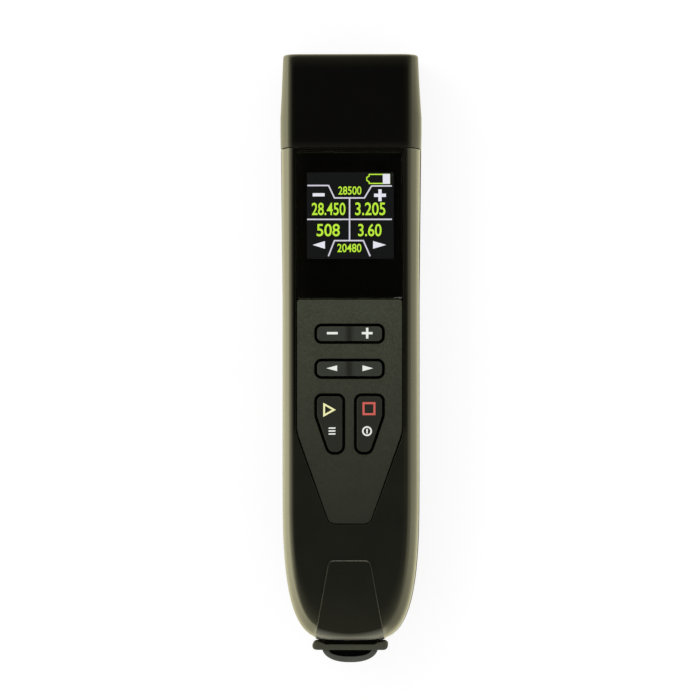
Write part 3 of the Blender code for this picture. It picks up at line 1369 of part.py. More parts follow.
def connector_washer():
    """The washer between neck and nut."""
    low = NECK_TOP_Y + GAP
    bore = THREAD_RADIUS + GAP
    high = low + WASHER_THICK
    profile = [(bore, low), (WASHER_RADIUS, low), (WASHER_RADIUS, high), (bore, high)]
    return turned(profile, (0.0, PARTING_Z), "Y", bored=True)


def connector_nut():
    """The hexagon nut that clamps the connector to the neck."""
    corner = NUT_ACROSS_FLATS / math.sqrt(3)
    shape = []
    for i in range(6):
        angle = math.pi / 3 * i
        shape.append((corner * math.cos(angle), PARTING_Z + corner * math.sin(angle)))
    nut = prism_along_y(shape, NUT_LOW_Y, NUT_LOW_Y + NUT_THICK)
    bore = THREAD_RADIUS + GAP
    hole = turned([(bore, NUT_LOW_Y - OVER), (bore, NUT_LOW_Y + NUT_THICK + OVER)], (0.0, PARTING_Z), "Y")
    return cut(nut, hole)


def usb_front():
    """The place of the USB socket's mouth."""
    return PLUG_END_Y + USB_BEHIND_PLUG


def usb_shell():
    """The USB socket's steel shell, open at its mouth."""
    front = usb_front()
    corners = rectangle(USB_WIDTH, USB_HEIGHT, USB_HEIGHT / 2 - USB_WALL / 2, (0.0, PORT_Z))
    outer = prism_along_y(outline(corners), front, front + USB_LENGTH)
    inner = prism_along_y(outline(corners, -USB_WALL), front - OVER, front + USB_LENGTH - USB_WALL)
    return cut(outer, inner)


def usb_tongue():
    """The USB socket's tongue, on the block that closes the shell's far end."""
    front = usb_front()
    back = front + USB_LENGTH - USB_WALL - GAP
    corners = rectangle(USB_WIDTH, USB_HEIGHT, USB_HEIGHT / 2 - USB_WALL / 2, (0.0, PORT_Z))
    block = prism_along_y(outline(corners, -USB_WALL - GAP), back - USB_BLOCK_LENGTH, back)
    half = USB_TONGUE_WIDTH / 2
    low = PORT_Z - USB_TONGUE_THICK / 2
    ends = (front + USB_TONGUE_BACK, back - USB_BLOCK_LENGTH / 2)
    bar = box(-half, half, *ends, low, low + USB_TONGUE_THICK)
    return joined(block, bar)


def grip_outline():
    """Half an ellipse across X and Y, which the pull tab is cut to."""
    reach = TAB_REACH - COVER_OFF - COVER_BAR / 2
    top = END_Y - COVER_OFF - COVER_BAR / 2
    points = []
    for i in range(GRIP_STEPS + 1):
        angle = math.pi + math.pi * i / GRIP_STEPS
        x = math.copysign(GRIP_WIDTH / 2 * abs(math.cos(angle)) ** GRIP_SIDE_POWER, math.cos(angle))
        points.append((x, top - reach * abs(math.sin(angle)) ** GRIP_END_POWER))
    return points


def grip_pocket_outline():
    """The pocket in the pull tab, a flatter half ellipse inside it."""
    top = END_Y - COVER_OFF - COVER_BAR
    reach = TAB_REACH - COVER_OFF - COVER_BAR - GRIP_WALL
    points = []
    for i in range(GRIP_STEPS + 1):
        angle = math.pi + math.pi * i / GRIP_STEPS
        x = math.copysign(GRIP_POCKET_WIDTH / 2 * abs(math.cos(angle)) ** GRIP_SIDE_POWER, math.cos(angle))
        points.append((x, top - reach * abs(math.sin(angle))))
    return points


def port_cover():
    """The rubber port cover: flange with two ears, plug and pull tab."""
    inner_y = END_Y - COVER_OFF
    outer_y = inner_y - COVER_BAR
    height = COVER_FRONT_Z - COVER_REAR_Z
    middle_z = (COVER_FRONT_Z + COVER_REAR_Z) / 2
    plate = rectangle(COVER_WIDTH, height, COVER_CORNER, (0.0, middle_z))
    flange = prism_along_y(outline(plate), outer_y, inner_y)
    ears = []
    for side in (-1, 1):
        x = side * (COVER_WIDTH - COVER_EAR_WIDTH) / 2
        ear = rectangle(COVER_EAR_WIDTH, height, COVER_EAR_CORNER, (x, middle_z))
        ears.append(prism_along_y(outline(ear), outer_y + COVER_BAR / 2, inner_y + COVER_EAR_RISE))
    plug = prism_along_y(outline(port_corners(0.0, 0.0)), inner_y - COVER_BAR / 2, PLUG_END_Y)
    grip = prism(grip_outline(), GRIP_REAR_Z, GRIP_FRONT_Z)
    pocket = prism(grip_pocket_outline(), GRIP_FRONT_Z - GRIP_POCKET_DEPTH, GRIP_FRONT_Z + OVER)
    return cut(joined(flange, merged(ears), plug, grip), pocket)


def cover_tether():
    """The strip that holds the cover: a head inside the case and a foot outside it."""
    z = PARTING_Z - TETHER_DROP
    outside = END_Y - GAP - TETHER_THICK
    inside = END_Y + SIDE_WALL + GAP + RIM_PROUD
    half = TETHER_WIDTH / 2
    low = z - TETHER_THICK / 2
    strip = box(-half, half, outside, inside + TETHER_HEAD_LENGTH / 2, low, low + TETHER_THICK)
    foot = box(-half, half, outside, outside + TETHER_THICK, low, HINGE_Z - GAP)
    head_half = TETHER_HEAD_WIDTH / 2
    head_low = z - TETHER_HEAD_HEIGHT / 2
    ends = (inside, inside + TETHER_HEAD_LENGTH)
    head = box(-head_half, head_half, *ends, head_low, head_low + TETHER_HEAD_HEIGHT)
    return joined(strip, foot, head)


def main():
    """Builds every piece."""
    clear_scene()
    piece("front_shell", front_shell(), GRAPHITE)
    piece("rear_shell", rear_shell(), GRAPHITE)
    piece("connector_cap", connector_cap(), CAP_BLACK, joint("cap_axis", (0.0, SEAM_Y, PARTING_Z)))
    piece("key_panel", key_panel(), PANEL_GREY)
    piece("display_window", display_window(), CLEAR)
    keys()
    piece("keypad_mat", keypad_mat(), MAT_GREY)
    piece("lcd_module", lcd_module(), LCD_GLASS)
    piece("lcd_frame", lcd_frame(), STEEL)
    piece("lcd_flex", lcd_flex(), FLEX_AMBER)
    piece("main_board", main_board(), BOARD_GREEN)
    piece("processor_chip", processor_chip(), CHIP_BLACK)
    piece("board_header", board_header(), HEADER_BLACK)
    piece("radio_board", radio_board(), BOARD_GREEN)
    piece("shield_can", shield_can(), STEEL)
    piece("battery_cell", battery_cell(), CELL_BLUE)
    piece("battery_cradle", battery_cradle(), CRADLE_BLACK)
    piece("battery_plus_contact", battery_plus_contact(), CONTACT_NICKEL)
    piece("battery_minus_contact", battery_minus_contact(), CONTACT_NICKEL)
    piece("battery_door", battery_door(), GRAPHITE)
    screws()
    piece("connector_body", connector_body(), CONNECTOR_NICKEL)
    piece("connector_insulator", connector_insulator(), WHITE_PTFE)
    piece("connector_pin", connector_pin(), PIN_GOLD)
    piece("connector_washer", connector_washer(), CONNECTOR_NICKEL)
    piece("connector_nut", connector_nut(), CONNECTOR_NICKEL)
    piece("usb_shell", usb_shell(), STEEL)
    piece("usb_tongue", usb_tongue(), HEADER_BLACK)
    piece("port_cover", port_cover(), COVER_RUBBER, joint("cover_axis", (0.0, HINGE_Y, HINGE_Z)))
    piece("cover_tether", cover_tether(), COVER_RUBBER)


main()
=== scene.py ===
"""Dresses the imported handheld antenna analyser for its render.

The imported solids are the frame. The pieces that show are rebuilt here as fine surfaces, and the
rest keep their solids and take a finish. Units are metres, and +Z points out of the display.
"""

import logging
import math
from dataclasses import dataclass, field
from enum import Enum

import bmesh
import bpy
import numpy as np
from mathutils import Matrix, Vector


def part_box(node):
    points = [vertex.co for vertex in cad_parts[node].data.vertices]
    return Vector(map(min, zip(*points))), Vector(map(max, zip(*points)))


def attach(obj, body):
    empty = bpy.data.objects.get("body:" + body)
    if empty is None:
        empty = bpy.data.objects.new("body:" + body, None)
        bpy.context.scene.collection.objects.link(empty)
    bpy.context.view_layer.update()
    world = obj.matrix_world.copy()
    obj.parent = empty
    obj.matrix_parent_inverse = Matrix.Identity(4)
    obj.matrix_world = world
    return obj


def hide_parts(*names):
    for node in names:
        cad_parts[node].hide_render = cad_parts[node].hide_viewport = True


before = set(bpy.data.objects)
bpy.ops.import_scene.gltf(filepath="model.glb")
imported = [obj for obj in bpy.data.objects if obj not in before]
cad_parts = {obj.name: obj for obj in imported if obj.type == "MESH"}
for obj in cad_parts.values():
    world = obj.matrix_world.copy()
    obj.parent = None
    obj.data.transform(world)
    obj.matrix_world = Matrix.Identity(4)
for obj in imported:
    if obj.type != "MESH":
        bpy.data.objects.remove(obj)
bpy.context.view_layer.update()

log = logging.getLogger("analyser")

MM = 0.001
NOISE_SPAN = (0.3, 0.7)  # where most of a noise's values lie
EDGE_FACING = (0.999, 0.90)  # the cosine to the softened normal, off and on an edge
Array = np.ndarray
Colour = tuple[float, float, float]
Material = bpy.types.Material
Mesh = bpy.types.Mesh
Socket = bpy.types.NodeSocket


class Body(Enum):
    """The bodies of the frame that pieces ride on."""

    CASE = "case"
    CAP = "cap"
    ZOOM = "zoom"
    CURSOR = "cursor"
    RUN = "run"
    STOP = "stop"
    COVER = "cover"


def shade(red: float, green: float, blue: float) -> Colour:
    """The linear colour of a display colour.

    Args:
        red: Red, 0 to 255.
        green: Green, 0 to 255.
        blue: Blue, 0 to 255.

    Returns:
        The three linear values, 0 to 1.
    """
    parts = np.array([red, green, blue]) / 255
    linear = np.where(parts <= 0.04045, parts / 12.92, ((parts + 0.055) / 1.055) ** 2.4)
    return tuple(float(value) for value in linear)


class Graph:
    """The node tree of a material or a world, with short calls to add nodes and join them."""

    def __init__(self, owner: Material | bpy.types.World) -> None:
        """Empties the tree and adds its output node."""
        owner.use_nodes = True
        self.owner = owner
        self.tree = owner.node_tree
        self.tree.nodes.clear()
        self.output = self.add("OutputWorld" if isinstance(owner, bpy.types.World) else "OutputMaterial")

    def add(
        self, kind: str, links: dict | None = None, values: dict | None = None, **settings: str | int
    ) -> bpy.types.Node:
        """Adds one node.

        Args:
            kind: The node type's name after "ShaderNode".
            links: Input name or place, and the socket that feeds it.
            values: Input name or place, and its value.
            **settings: Properties of the node.

        Returns:
            The node.
        """
        node = self.tree.nodes.new("ShaderNode" + kind)
        for key, value in settings.items():
            setattr(node, key, value)
        for key, value in (values or {}).items():
            node.inputs[key].default_value = value
        for key, socket in (links or {}).items():
            self.tree.links.new(socket, node.inputs[key])
        return node

    def object_place(self) -> Socket:
        """The place on the object, in metres."""
        return self.add("TexCoord").outputs["Object"]

    def noise(self, place: Socket, size: float, detail: float = 2.0, rough: float = 0.5) -> Socket:
        """Noise whose features have a given size.

        Args:
            place: The coordinates.
            size: The feature size in metres.
            detail: How many octaves.
            rough: How strong the finer octaves are.

        Returns:
            The noise value's socket.
        """
        values = {"Scale": 1 / size, "Detail": detail, "Roughness": rough}
        return self.add("TexNoise", {"Vector": place}, values).outputs["Fac"]

    def spread(self, value: Socket, low: float, high: float, out_low: float, out_high: float) -> Socket:
        """Maps a value from one range to another, held at the ends.

        Args:
            value: The socket to map.
            low: Start of the range.
            high: End of the range.
            out_low: What the start becomes.
            out_high: What the end becomes.

        Returns:
            The mapped value's socket.
        """
        values = {1: low, 2: high, 3: out_low, 4: out_high}
        return self.add("MapRange", {0: value}, values).outputs[0]

    def compute(self, operation: str, first: Socket, second: Socket | float | None = None) -> Socket:
        """Adds one step of arithmetic.

        Args:
            operation: What the step does.
            first: The first value.
            second: The second value, a socket or a number, where the step takes one.

        Returns:
            The result's socket.
        """
        links, values = {0: first}, {}
        if second is not None:
            (links if isinstance(second, Socket) else values)[1] = second
        return self.add("Math", links, values, operation=operation).outputs[0]

    def between(self, share: Socket, first: Socket, second: Socket) -> Socket:
        """A value between two others, at a share of the way to the second."""
        return self.add("Mix", {0: share, 2: first, 3: second}, data_type="FLOAT").outputs[0]

    def blend(self, share: Socket, first: Socket | Colour, second: Socket | Colour) -> Socket:
        """Mixes two colours.

        Args:
            share: How much of the second.
            first: A colour or a socket.
            second: A colour or a socket.

        Returns:
            The mixed colour's socket.
        """
        node = self.add("Mix", {0: share}, data_type="RGBA")
        for place, item in ((6, first), (7, second)):
            if isinstance(item, Socket):
                self.tree.links.new(item, node.inputs[place])
            else:
                node.inputs[place].default_value = (*item, 1.0)
        return node.outputs[2]

    def bump(self, height: Socket, strength: float, distance: float, normal: Socket | None = None) -> Socket:
        """A bumped normal.

        Args:
            height: The height, 0 to 1.
            strength: How much of the bump shows.
            distance: The full height in metres.
            normal: The normal that it starts from.

        Returns:
            The normal's socket.
        """
        links = {"Height": height} if normal is None else {"Height": height, "Normal": normal}
        return self.add("Bump", links, {"Strength": strength, "Distance": distance}).outputs[0]

    def principled(self, links: dict, values: dict | None = None) -> Material:
        """Adds the surface's shader with its links and values, and returns the finished material."""
        return self.finish(self.add("BsdfPrincipled", links, values))

    def finish(self, shader: bpy.types.Node) -> Material | bpy.types.World:
        """Joins a shader to the output and returns the owner."""
        self.tree.links.new(shader.outputs[0], self.output.inputs["Surface"])
        return self.owner


@dataclass(frozen=True)
class Finish:
    """What every finish has: its name, its colour and how rough it is."""

    name: str
    colour: Colour
    roughness: float = 0.4

    def material(self) -> Material:
        """The material, made on its first use."""
        return bpy.data.materials.get(self.name) or self.build(Graph(bpy.data.materials.new(self.name)))

    def tinted(self, share: float) -> Colour:
        """The finish's colour, darker or paler by a factor."""
        return tuple(value * share for value in self.colour)

    def build(self, graph: Graph) -> Material:
        """Builds the node tree.

        Args:
            graph: The empty material.

        Returns:
            The finished material.
        """
        raise NotImplementedError


@dataclass(frozen=True)
class Moulded(Finish):
    """Moulded plastic or rubber: a fine grain, faint blotches and paler edges, partly wear and partly a
    painted highlight.
    """

    grain: float = 0.25 * MM
    depth: float = 0.004 * MM
    mottle: float = 0.10
    # share of paler edges: partly wear, partly a painted highlight
    edge_wear_and_highlight: float = 0.25
    edge_width: float = 0.14 * MM
    specular: float = 0.5
    # painted light along Y: where the gradient starts and ends, and the colour's factor at its end
    fade: tuple[float, float, float] | None = None
    painted_light_most: float = 0.85
    speckle: float = 0.35
    speck_span: tuple[float, float] = (0.35, 0.7)
    speck_tint: float = 1.7
    blotch: float = 9 * MM
    uneven: float = 0.04
    bump: float = 0.8

    def tone(self, graph: Graph, parts: list[Socket], tone: Socket) -> Socket:
        """Paints light and shade along the object: the colour moves from the fade's first place along Y to
        its second.

        Args:
            graph: The material.
            parts: The place along X, Y and Z.
            tone: The colour so far.

        Returns:
            The new colour's socket.
        """
        if not self.fade:
            return tone
        # painted light: a gradient along Y towards a darker or paler copy of the colour
        start, end, share = self.fade
        return graph.blend(graph.spread(parts[1], start, end, 0.0, self.painted_light_most), tone, self.tinted(share))

    def wear_and_painted_light(self, graph: Graph, parts: list[Socket], tone: Socket, edge: Socket) -> Socket:
        """Makes the edges paler: partly wear, partly a painted highlight.

        Args:
            graph: The material.
            parts: The place along X, Y and Z; not used here.
            tone: The colour so far.
            edge: How near an edge is, 0 to 1.

        Returns:
            The new colour's socket.
        """
        # paler edges: partly wear, partly a painted highlight
        share = graph.spread(edge, 0.0, 1.0, 0.0, self.edge_wear_and_highlight)
        return graph.blend(share, tone, tuple(min(1.0, value * 3 + 0.01) for value in self.colour))

    def build(self, graph: Graph) -> Material:
        """Builds grain in the bump, blotches and specks in the colour, and paler edges by an edge mask,
        partly wear and partly a painted highlight.
        """
        place = graph.object_place()
        parts = list(graph.add("SeparateXYZ", {0: place}).outputs)
        blotch = graph.noise(place, self.blotch, 3.0, 0.55)
        grain = graph.noise(place, self.grain, 3.0, 0.6)
        blotched = graph.spread(blotch, *NOISE_SPAN, 0.0, 1.0)
        tone = graph.blend(blotched, self.tinted(1 - self.mottle), self.tinted(1 + self.mottle))
        specks = graph.spread(grain, *self.speck_span, 0.0, self.speckle)
        tone = graph.blend(specks, tone, self.tinted(self.speck_tint))
        tone = self.tone(graph, parts, tone)
        soft = graph.add("Bevel", values={"Radius": self.edge_width}, samples=4).outputs[0]
        flat = graph.add("NewGeometry").outputs["Normal"]
        facing = graph.add("VectorMath", {0: soft, 1: flat}, operation="DOT_PRODUCT").outputs["Value"]
        tone = self.wear_and_painted_light(graph, parts, tone, graph.spread(facing, *EDGE_FACING, 0.0, 1.0))
        rough = graph.spread(grain, *NOISE_SPAN, self.roughness - self.uneven, self.roughness + self.uneven)
        normal = graph.bump(grain, self.bump, self.depth, soft)
        links = {"Base Color": tone, "Roughness": rough, "Normal": normal}
        return graph.principled(links, {"Specular IOR Level": self.specular})


@dataclass(frozen=True)
class PaintedLightCase(Moulded):
    """The case's plastic, with painted highlights on the tongue's edges, a painted reflection on the lower
    end and painted shade beside the plates.
    """

    # painted highlight colour for the tongue's edges
    tongue_highlight: Colour = (0.24, 0.235, 0.19)
    tongue_y: float = -0.0620
    tongue_top: float = 0.5 * MM
    tongue_reach: tuple[float, float] = (3 * MM, 2 * MM)
    tongue_sides: tuple[float, float] = (0.12, 0.55)
    # painted reflection colour for the lower end
    end_reflection: Colour = (0.30, 0.293, 0.23)
    end_y: float = -0.0866
    end_length: float = 0.0032
    end_half: float = 0.0104
    end_soft: float = 1.0 * MM
    end_rise: float = 0.0020
    end_z: tuple[float, float] = (25.0 * MM, 30.0 * MM)
    # painted shade beside the plates: where it lies across and along, how strong it is and the colour's
    # factor
    rim: tuple[float, float] = (16.7 * MM, 17.8 * MM)
    rim_y: tuple[float, float] = (-24.0 * MM, -20.0 * MM)
    plate_shade_share: float = 0.8
    plate_shade_tint: float = 0.1

    def tongue(self, graph: Graph, along: Socket, edge: Socket) -> Socket:
        """How much painted highlight the tongue's edges get: all of its top edge, and more of its sides
        towards the end.

        Args:
            graph: The material.
            along: The place along Y.
            edge: How near an edge is, 0 to 1.

        Returns:
            The share's socket.
        """
        far, near = self.tongue_reach
        level = graph.compute(
            "MAXIMUM",
            graph.spread(along, self.tongue_y, self.tongue_y + self.tongue_top, 0.0, 1.0),
            graph.spread(along, self.tongue_y, self.end_y, *self.tongue_sides),
        )
        level = graph.compute(
            "MULTIPLY", level, graph.spread(along, self.tongue_y + far, self.tongue_y + near, 0.0, 1.0)
        )
        return graph.compute("MULTIPLY", level, edge)

    def crescent(self, graph: Graph, parts: list[Socket], across: Socket) -> Socket:
        """How much painted reflection the end gets: a crescent, its bound rising with the square of the way
        from the middle.

        Args:
            graph: The material.
            parts: The place along X, Y and Z.
            across: How far the place lies from the middle along X.

        Returns:
            The share's socket.
        """
        middle = graph.spread(across, self.end_half, self.end_half + self.end_soft, 1.0, 0.0)
        bow = graph.compute("MULTIPLY", across, across)
        bow = graph.compute("MULTIPLY", bow, -self.end_rise / self.end_half**2)
        bow = graph.compute("ADD", parts[1], bow)
        end = graph.spread(bow, self.end_y + self.end_length, self.end_y, 0.0, 1.0)
        level = graph.compute("MULTIPLY", middle, end)
        return graph.compute("MULTIPLY", level, graph.spread(parts[2], *self.end_z, 0.0, 1.0))

    def wear_and_painted_light(self, graph: Graph, parts: list[Socket], tone: Socket, edge: Socket) -> Socket:
        """Paints highlights on the tongue's edges, a painted reflection on the end between the cover's ears,
        and painted shade beside the plates' rim.

        Args:
            graph: The material.
            parts: The place along X, Y and Z.
            tone: The colour so far.
            edge: How near an edge is, 0 to 1.

        Returns:
            The new colour's socket.
        """
        tone = Moulded.wear_and_painted_light(self, graph, parts, tone, edge)
        # painted highlight on the tongue's edges
        tone = graph.blend(self.tongue(graph, parts[1], edge), tone, self.tongue_highlight)
        across = graph.compute("ABSOLUTE", parts[0])
        # painted reflection on the end between the cover's ears
        tone = graph.blend(self.crescent(graph, parts, across), tone, self.end_reflection)
        # painted shade in the strip beside the plates
        rim = graph.spread(across, *self.rim, self.plate_shade_share, 0.0)
        level = graph.compute("MULTIPLY", rim, graph.spread(parts[1], *self.rim_y, 0.0, 1.0))
        return graph.blend(level, tone, self.tinted(self.plate_shade_tint))


@dataclass(frozen=True)
class SaddleShadedRubber(Moulded):
    """Rubber of a rocker key, with painted shade in the saddle between its two pads."""

    # painted shade: where it starts and ends across the middle, and the colour's factor
    saddle: tuple[float, float, float] = (0.5 * MM, 1.7 * MM, 0.48)

    def tone(self, graph: Graph, parts: list[Socket], tone: Socket) -> Socket:
        """Paints shade near the key's middle.

        Args:
            graph: The material.
            parts: The place along X, Y and Z.
            tone: The colour so far.

        Returns:
            The new colour's socket.
        """
        inner, outer, share = self.saddle
        across = graph.compute("ABSOLUTE", parts[0])
        return graph.blend(graph.spread(across, inner, outer, 1.0, 0.0), tone, self.tinted(share))


@dataclass(frozen=True)
class Metal(Finish):
    """Plated or rolled metal: fine brushing along one axis and small dull patches."""

    brushed: tuple[float, float, float] = (1.0, 1.0, 1.0)
    line: float = 0.12 * MM
    line_depth: float = 0.003 * MM
    patch: float = 3 * MM
    dull_tint: float = 0.82

    def build(self, graph: Graph) -> Material:
        """Builds stretched noise for the brushing and broad noise for the dull patches."""
        place = graph.object_place()
        drawn = graph.add("Mapping", {"Vector": place}, {"Scale": self.brushed}).outputs[0]
        lines = graph.noise(drawn, self.line)
        patch = graph.noise(place, self.patch, 3.0)
        shiny = graph.spread(patch, 0.35, 0.65, 0.0, 1.0)
        tone = graph.blend(shiny, self.tinted(self.dull_tint), self.colour)
        rough = graph.spread(patch, *NOISE_SPAN, self.roughness + 0.10, self.roughness - 0.05)
        links = {"Base Color": tone, "Roughness": rough, "Normal": graph.bump(lines, 0.35, self.line_depth)}
        return graph.principled(links, {"Metallic": 1.0})


@dataclass(frozen=True)
class Printed(Finish):
    """Ink printed on a key or a plate: nearly flat, with a faint unevenness."""

    specular: float = 0.5
    patch: float = 0.6 * MM
    thin_tint: float = 0.93

    def build(self, graph: Graph) -> Material:
        """Builds a slightly uneven tone."""
        patch = graph.noise(graph.object_place(), self.patch)
        full = graph.spread(patch, *NOISE_SPAN, 0.0, 1.0)
        tone = graph.blend(full, self.tinted(self.thin_tint), self.colour)
        values = {"Roughness": self.roughness, "Specular IOR Level": self.specular}
        return graph.principled({"Base Color": tone}, values)


@dataclass(frozen=True)
class Lit(Finish):
    """A lit part of the display: it glows at its own colour, in a fine grid of dots."""

    pitch: float = 0.16 * MM
    dots: float = 0.08

    def build(self, graph: Graph) -> Material:
        """Builds a glow whose rows and columns are a little darker between the dots."""
        parts = graph.add("SeparateXYZ", {0: graph.object_place()}).outputs
        waves = [
            graph.compute("SINE", graph.compute("MULTIPLY", parts[axis], 2 * math.pi / self.pitch))
            for axis in (0, 1)
        ]
        level = graph.spread(graph.compute("ADD", *waves), -2.0, 2.0, 0.0, 1.0)
        tone = graph.blend(level, self.tinted(1 - self.dots), self.tinted(1 + self.dots))
        values = {"Base Color": (0.0, 0.0, 0.0, 1.0), "Emission Strength": 1.0}
        values |= {"Roughness": self.roughness, "Specular IOR Level": 0.0}
        return graph.principled({"Emission Color": tone}, values)


@dataclass(frozen=True)
class Acrylic(Finish):
    """Clear acrylic: smooth, with a very faint waviness and a smoky tint."""

    wave: float = 14 * MM
    wave_depth: float = 0.01 * MM
    index: float = 1.49

    def build(self, graph: Graph) -> Material:
        """Builds a clear shader with a wide, shallow bump."""
        wave = graph.noise(graph.object_place(), self.wave, 1.0)
        values = {"Base Color": (*self.colour, 1.0), "Roughness": self.roughness}
        values |= {"IOR": self.index, "Transmission Weight": 1.0}
        return graph.principled({"Normal": graph.bump(wave, 0.1, self.wave_depth)}, values)


@dataclass(frozen=True)
class Board(Finish):
    """A circuit board's solder mask, with paler lines of copper under it."""

    copper: Colour = (0.05, 0.22, 0.08)
    block: float = 2.2 * MM
    trace: tuple[float, float] = (0.04, 0.07)
    trace_high: float = 0.03 * MM

    def build(self, graph: Graph) -> Material:
        """Builds traces along the borders of square cells."""
        cells = graph.add(
            "TexVoronoi",
            {"Vector": graph.object_place()},
            {"Scale": 1 / self.block},
            feature="DISTANCE_TO_EDGE",
            distance="CHEBYCHEV",
        )
        line = graph.spread(cells.outputs[0], *self.trace, 1.0, 0.0)
        tone = graph.blend(line, self.colour, self.copper)
        links = {"Base Color": tone, "Normal": graph.bump(line, 0.4, self.trace_high)}
        return graph.principled(links, {"Roughness": self.roughness})


CASE_GRAIN = {"grain": 0.22 * MM, "depth": 0.002 * MM, "edge_width": 0.3 * MM}
KEY_GRAIN = {"grain": 0.16 * MM, "depth": 0.003 * MM, "mottle": 0.08}
KEY_TOP = {**KEY_GRAIN, "edge_wear_and_highlight": 0.3, "edge_width": 0.2 * MM, "specular": 0.4}
COVER_GRAIN = {"grain": 0.30 * MM, "depth": 0.008 * MM, "mottle": 0.16}
COVER_GRAIN |= {"edge_width": 0.25 * MM, "specular": 0.35}
INNER_GRAIN = {"grain": 0.30 * MM, "edge_wear_and_highlight": 0.0, "specular": 0.1}

# The case's fade is painted shade that darkens it towards the head.
CASE_GRAPHITE = PaintedLightCase(
    "case_graphite", (0.0110, 0.0115, 0.0075), 0.22, fade=(-0.024, 0.012, 0.0), **CASE_GRAIN
)
# The cap's fade is a painted highlight that pales it towards its lower rim by the seam.
CAP_BLACK = Moulded(
    "cap_black",
    (0.0024, 0.0023, 0.0017),
    0.30,
    edge_wear_and_highlight=0.15,
    specular=0.23,
    fade=(0.0655, 0.0636, 4.4),
    **CASE_GRAIN,
)
# The panel's fade is painted shade that darkens it towards its lower end.
PANEL_GREY = Moulded(
    "panel_grey",
    (0.0354, 0.0390, 0.0245),
    0.62,
    grain=0.45 * MM,
    depth=0.016 * MM,
    mottle=0.14,
    edge_wear_and_highlight=0.1,
    edge_width=0.12 * MM,
    specular=0.35,
    fade=(0.014, -0.050, 0.50),
    speckle=1.0,
)
KEY_GREY = SaddleShadedRubber("key_grey", (0.031, 0.035, 0.027), 0.55, **KEY_TOP)
# The long keys take a darker copy of the keys' rubber: painted shade.
LONG_KEY_SHADED_GREY = Moulded("long_key_shaded_grey", (0.0175, 0.0192, 0.0140), 0.55, **KEY_TOP)
# The keys' feet are near black so that the gaps round the keys show as shade: painted shade.
KEY_FOOT_SHADE = Moulded("key_foot_shade", (0.0020, 0.0020, 0.0018), 0.75, edge_wear_and_highlight=0.0, specular=0.1, **KEY_GRAIN)
COVER_OLIVE = Moulded("cover_olive", (0.046, 0.047, 0.032), 0.68, edge_wear_and_highlight=0.35, **COVER_GRAIN)
# The tab takes a paler copy of the cover's rubber: a painted highlight.
TAB_LIT_OLIVE = Moulded("tab_lit_olive", (0.066, 0.068, 0.056), 0.68, **COVER_GRAIN)
# The cover's plug and neck are near black as painted shade for the shadowed gap behind the bar.
PLUG_SHADE_BLACK = Moulded("plug_shade_black", (0.0025, 0.0025, 0.0020), 0.75, **INNER_GRAIN)
DARK_PLASTIC = Moulded("dark_plastic", (0.02, 0.02, 0.02), 0.55)
MAT_SILICONE = Moulded("mat_silicone", (0.0030, 0.0030, 0.0028), 0.70, depth=0.006 * MM, **INNER_GRAIN)
CARBON = Moulded("carbon", (0.012, 0.012, 0.012), 0.75, grain=0.12 * MM)
CHIP_EPOXY = Moulded("chip_epoxy", (0.016, 0.016, 0.017), 0.50, grain=0.10 * MM)
WHITE_PTFE = Moulded(
    "white_ptfe", (0.80, 0.79, 0.75), 0.40, grain=0.40 * MM, depth=0.003 * MM, mottle=0.04, edge_wear_and_highlight=0.0
)
CELL_BLUE = Moulded(
    "cell_blue", (0.02, 0.08, 0.28), 0.30, grain=3.0 * MM, depth=0.01 * MM, mottle=0.06, edge_wear_and_highlight=0.1
)
FLEX_AMBER = Moulded("flex_amber", (0.42, 0.19, 0.03), 0.35, grain=0.5 * MM, depth=0.003 * MM)
GLASS = Acrylic("clear_acrylic", (0.96, 0.97, 0.97), 0.0)
MASK_BLACK = Printed("mask_black", (0.0029, 0.0029, 0.0025), 0.45, specular=0.05)
MARK_WHITE = Printed("mark_white", shade(247, 250, 242), 0.55)
MARK_YELLOW = Printed("mark_yellow", shade(255, 255, 190), 0.55)
MARK_RED = Printed("mark_red", shade(220, 98, 86), 0.55)
LCD_DARK = Lit("lcd_dark", shade(24, 25, 25), 0.3)
LCD_GREEN = Lit("lcd_green", shade(198, 246, 66), 0.3, dots=0.03)
LCD_PALE = Lit("lcd_pale", shade(222, 218, 232), 0.3, dots=0.03)
LCD_WHITE = Lit("lcd_white", shade(240, 240, 250), 0.3, dots=0.03)
STEEL = Metal("bright_steel", (0.56, 0.57, 0.58), 0.28, (1.0, 0.1, 1.0))
DARK_STEEL = Metal("dark_steel", (0.10, 0.10, 0.11), 0.35)
NICKEL = Metal("nickel", (0.63, 0.60, 0.54), 0.22, (0.15, 1.0, 0.15))
GOLD = Metal("gold", (0.82, 0.56, 0.20), 0.22, (0.15, 1.0, 0.15))
BOARD_GREEN = Board("board_green", (0.014, 0.09, 0.035), 0.40)


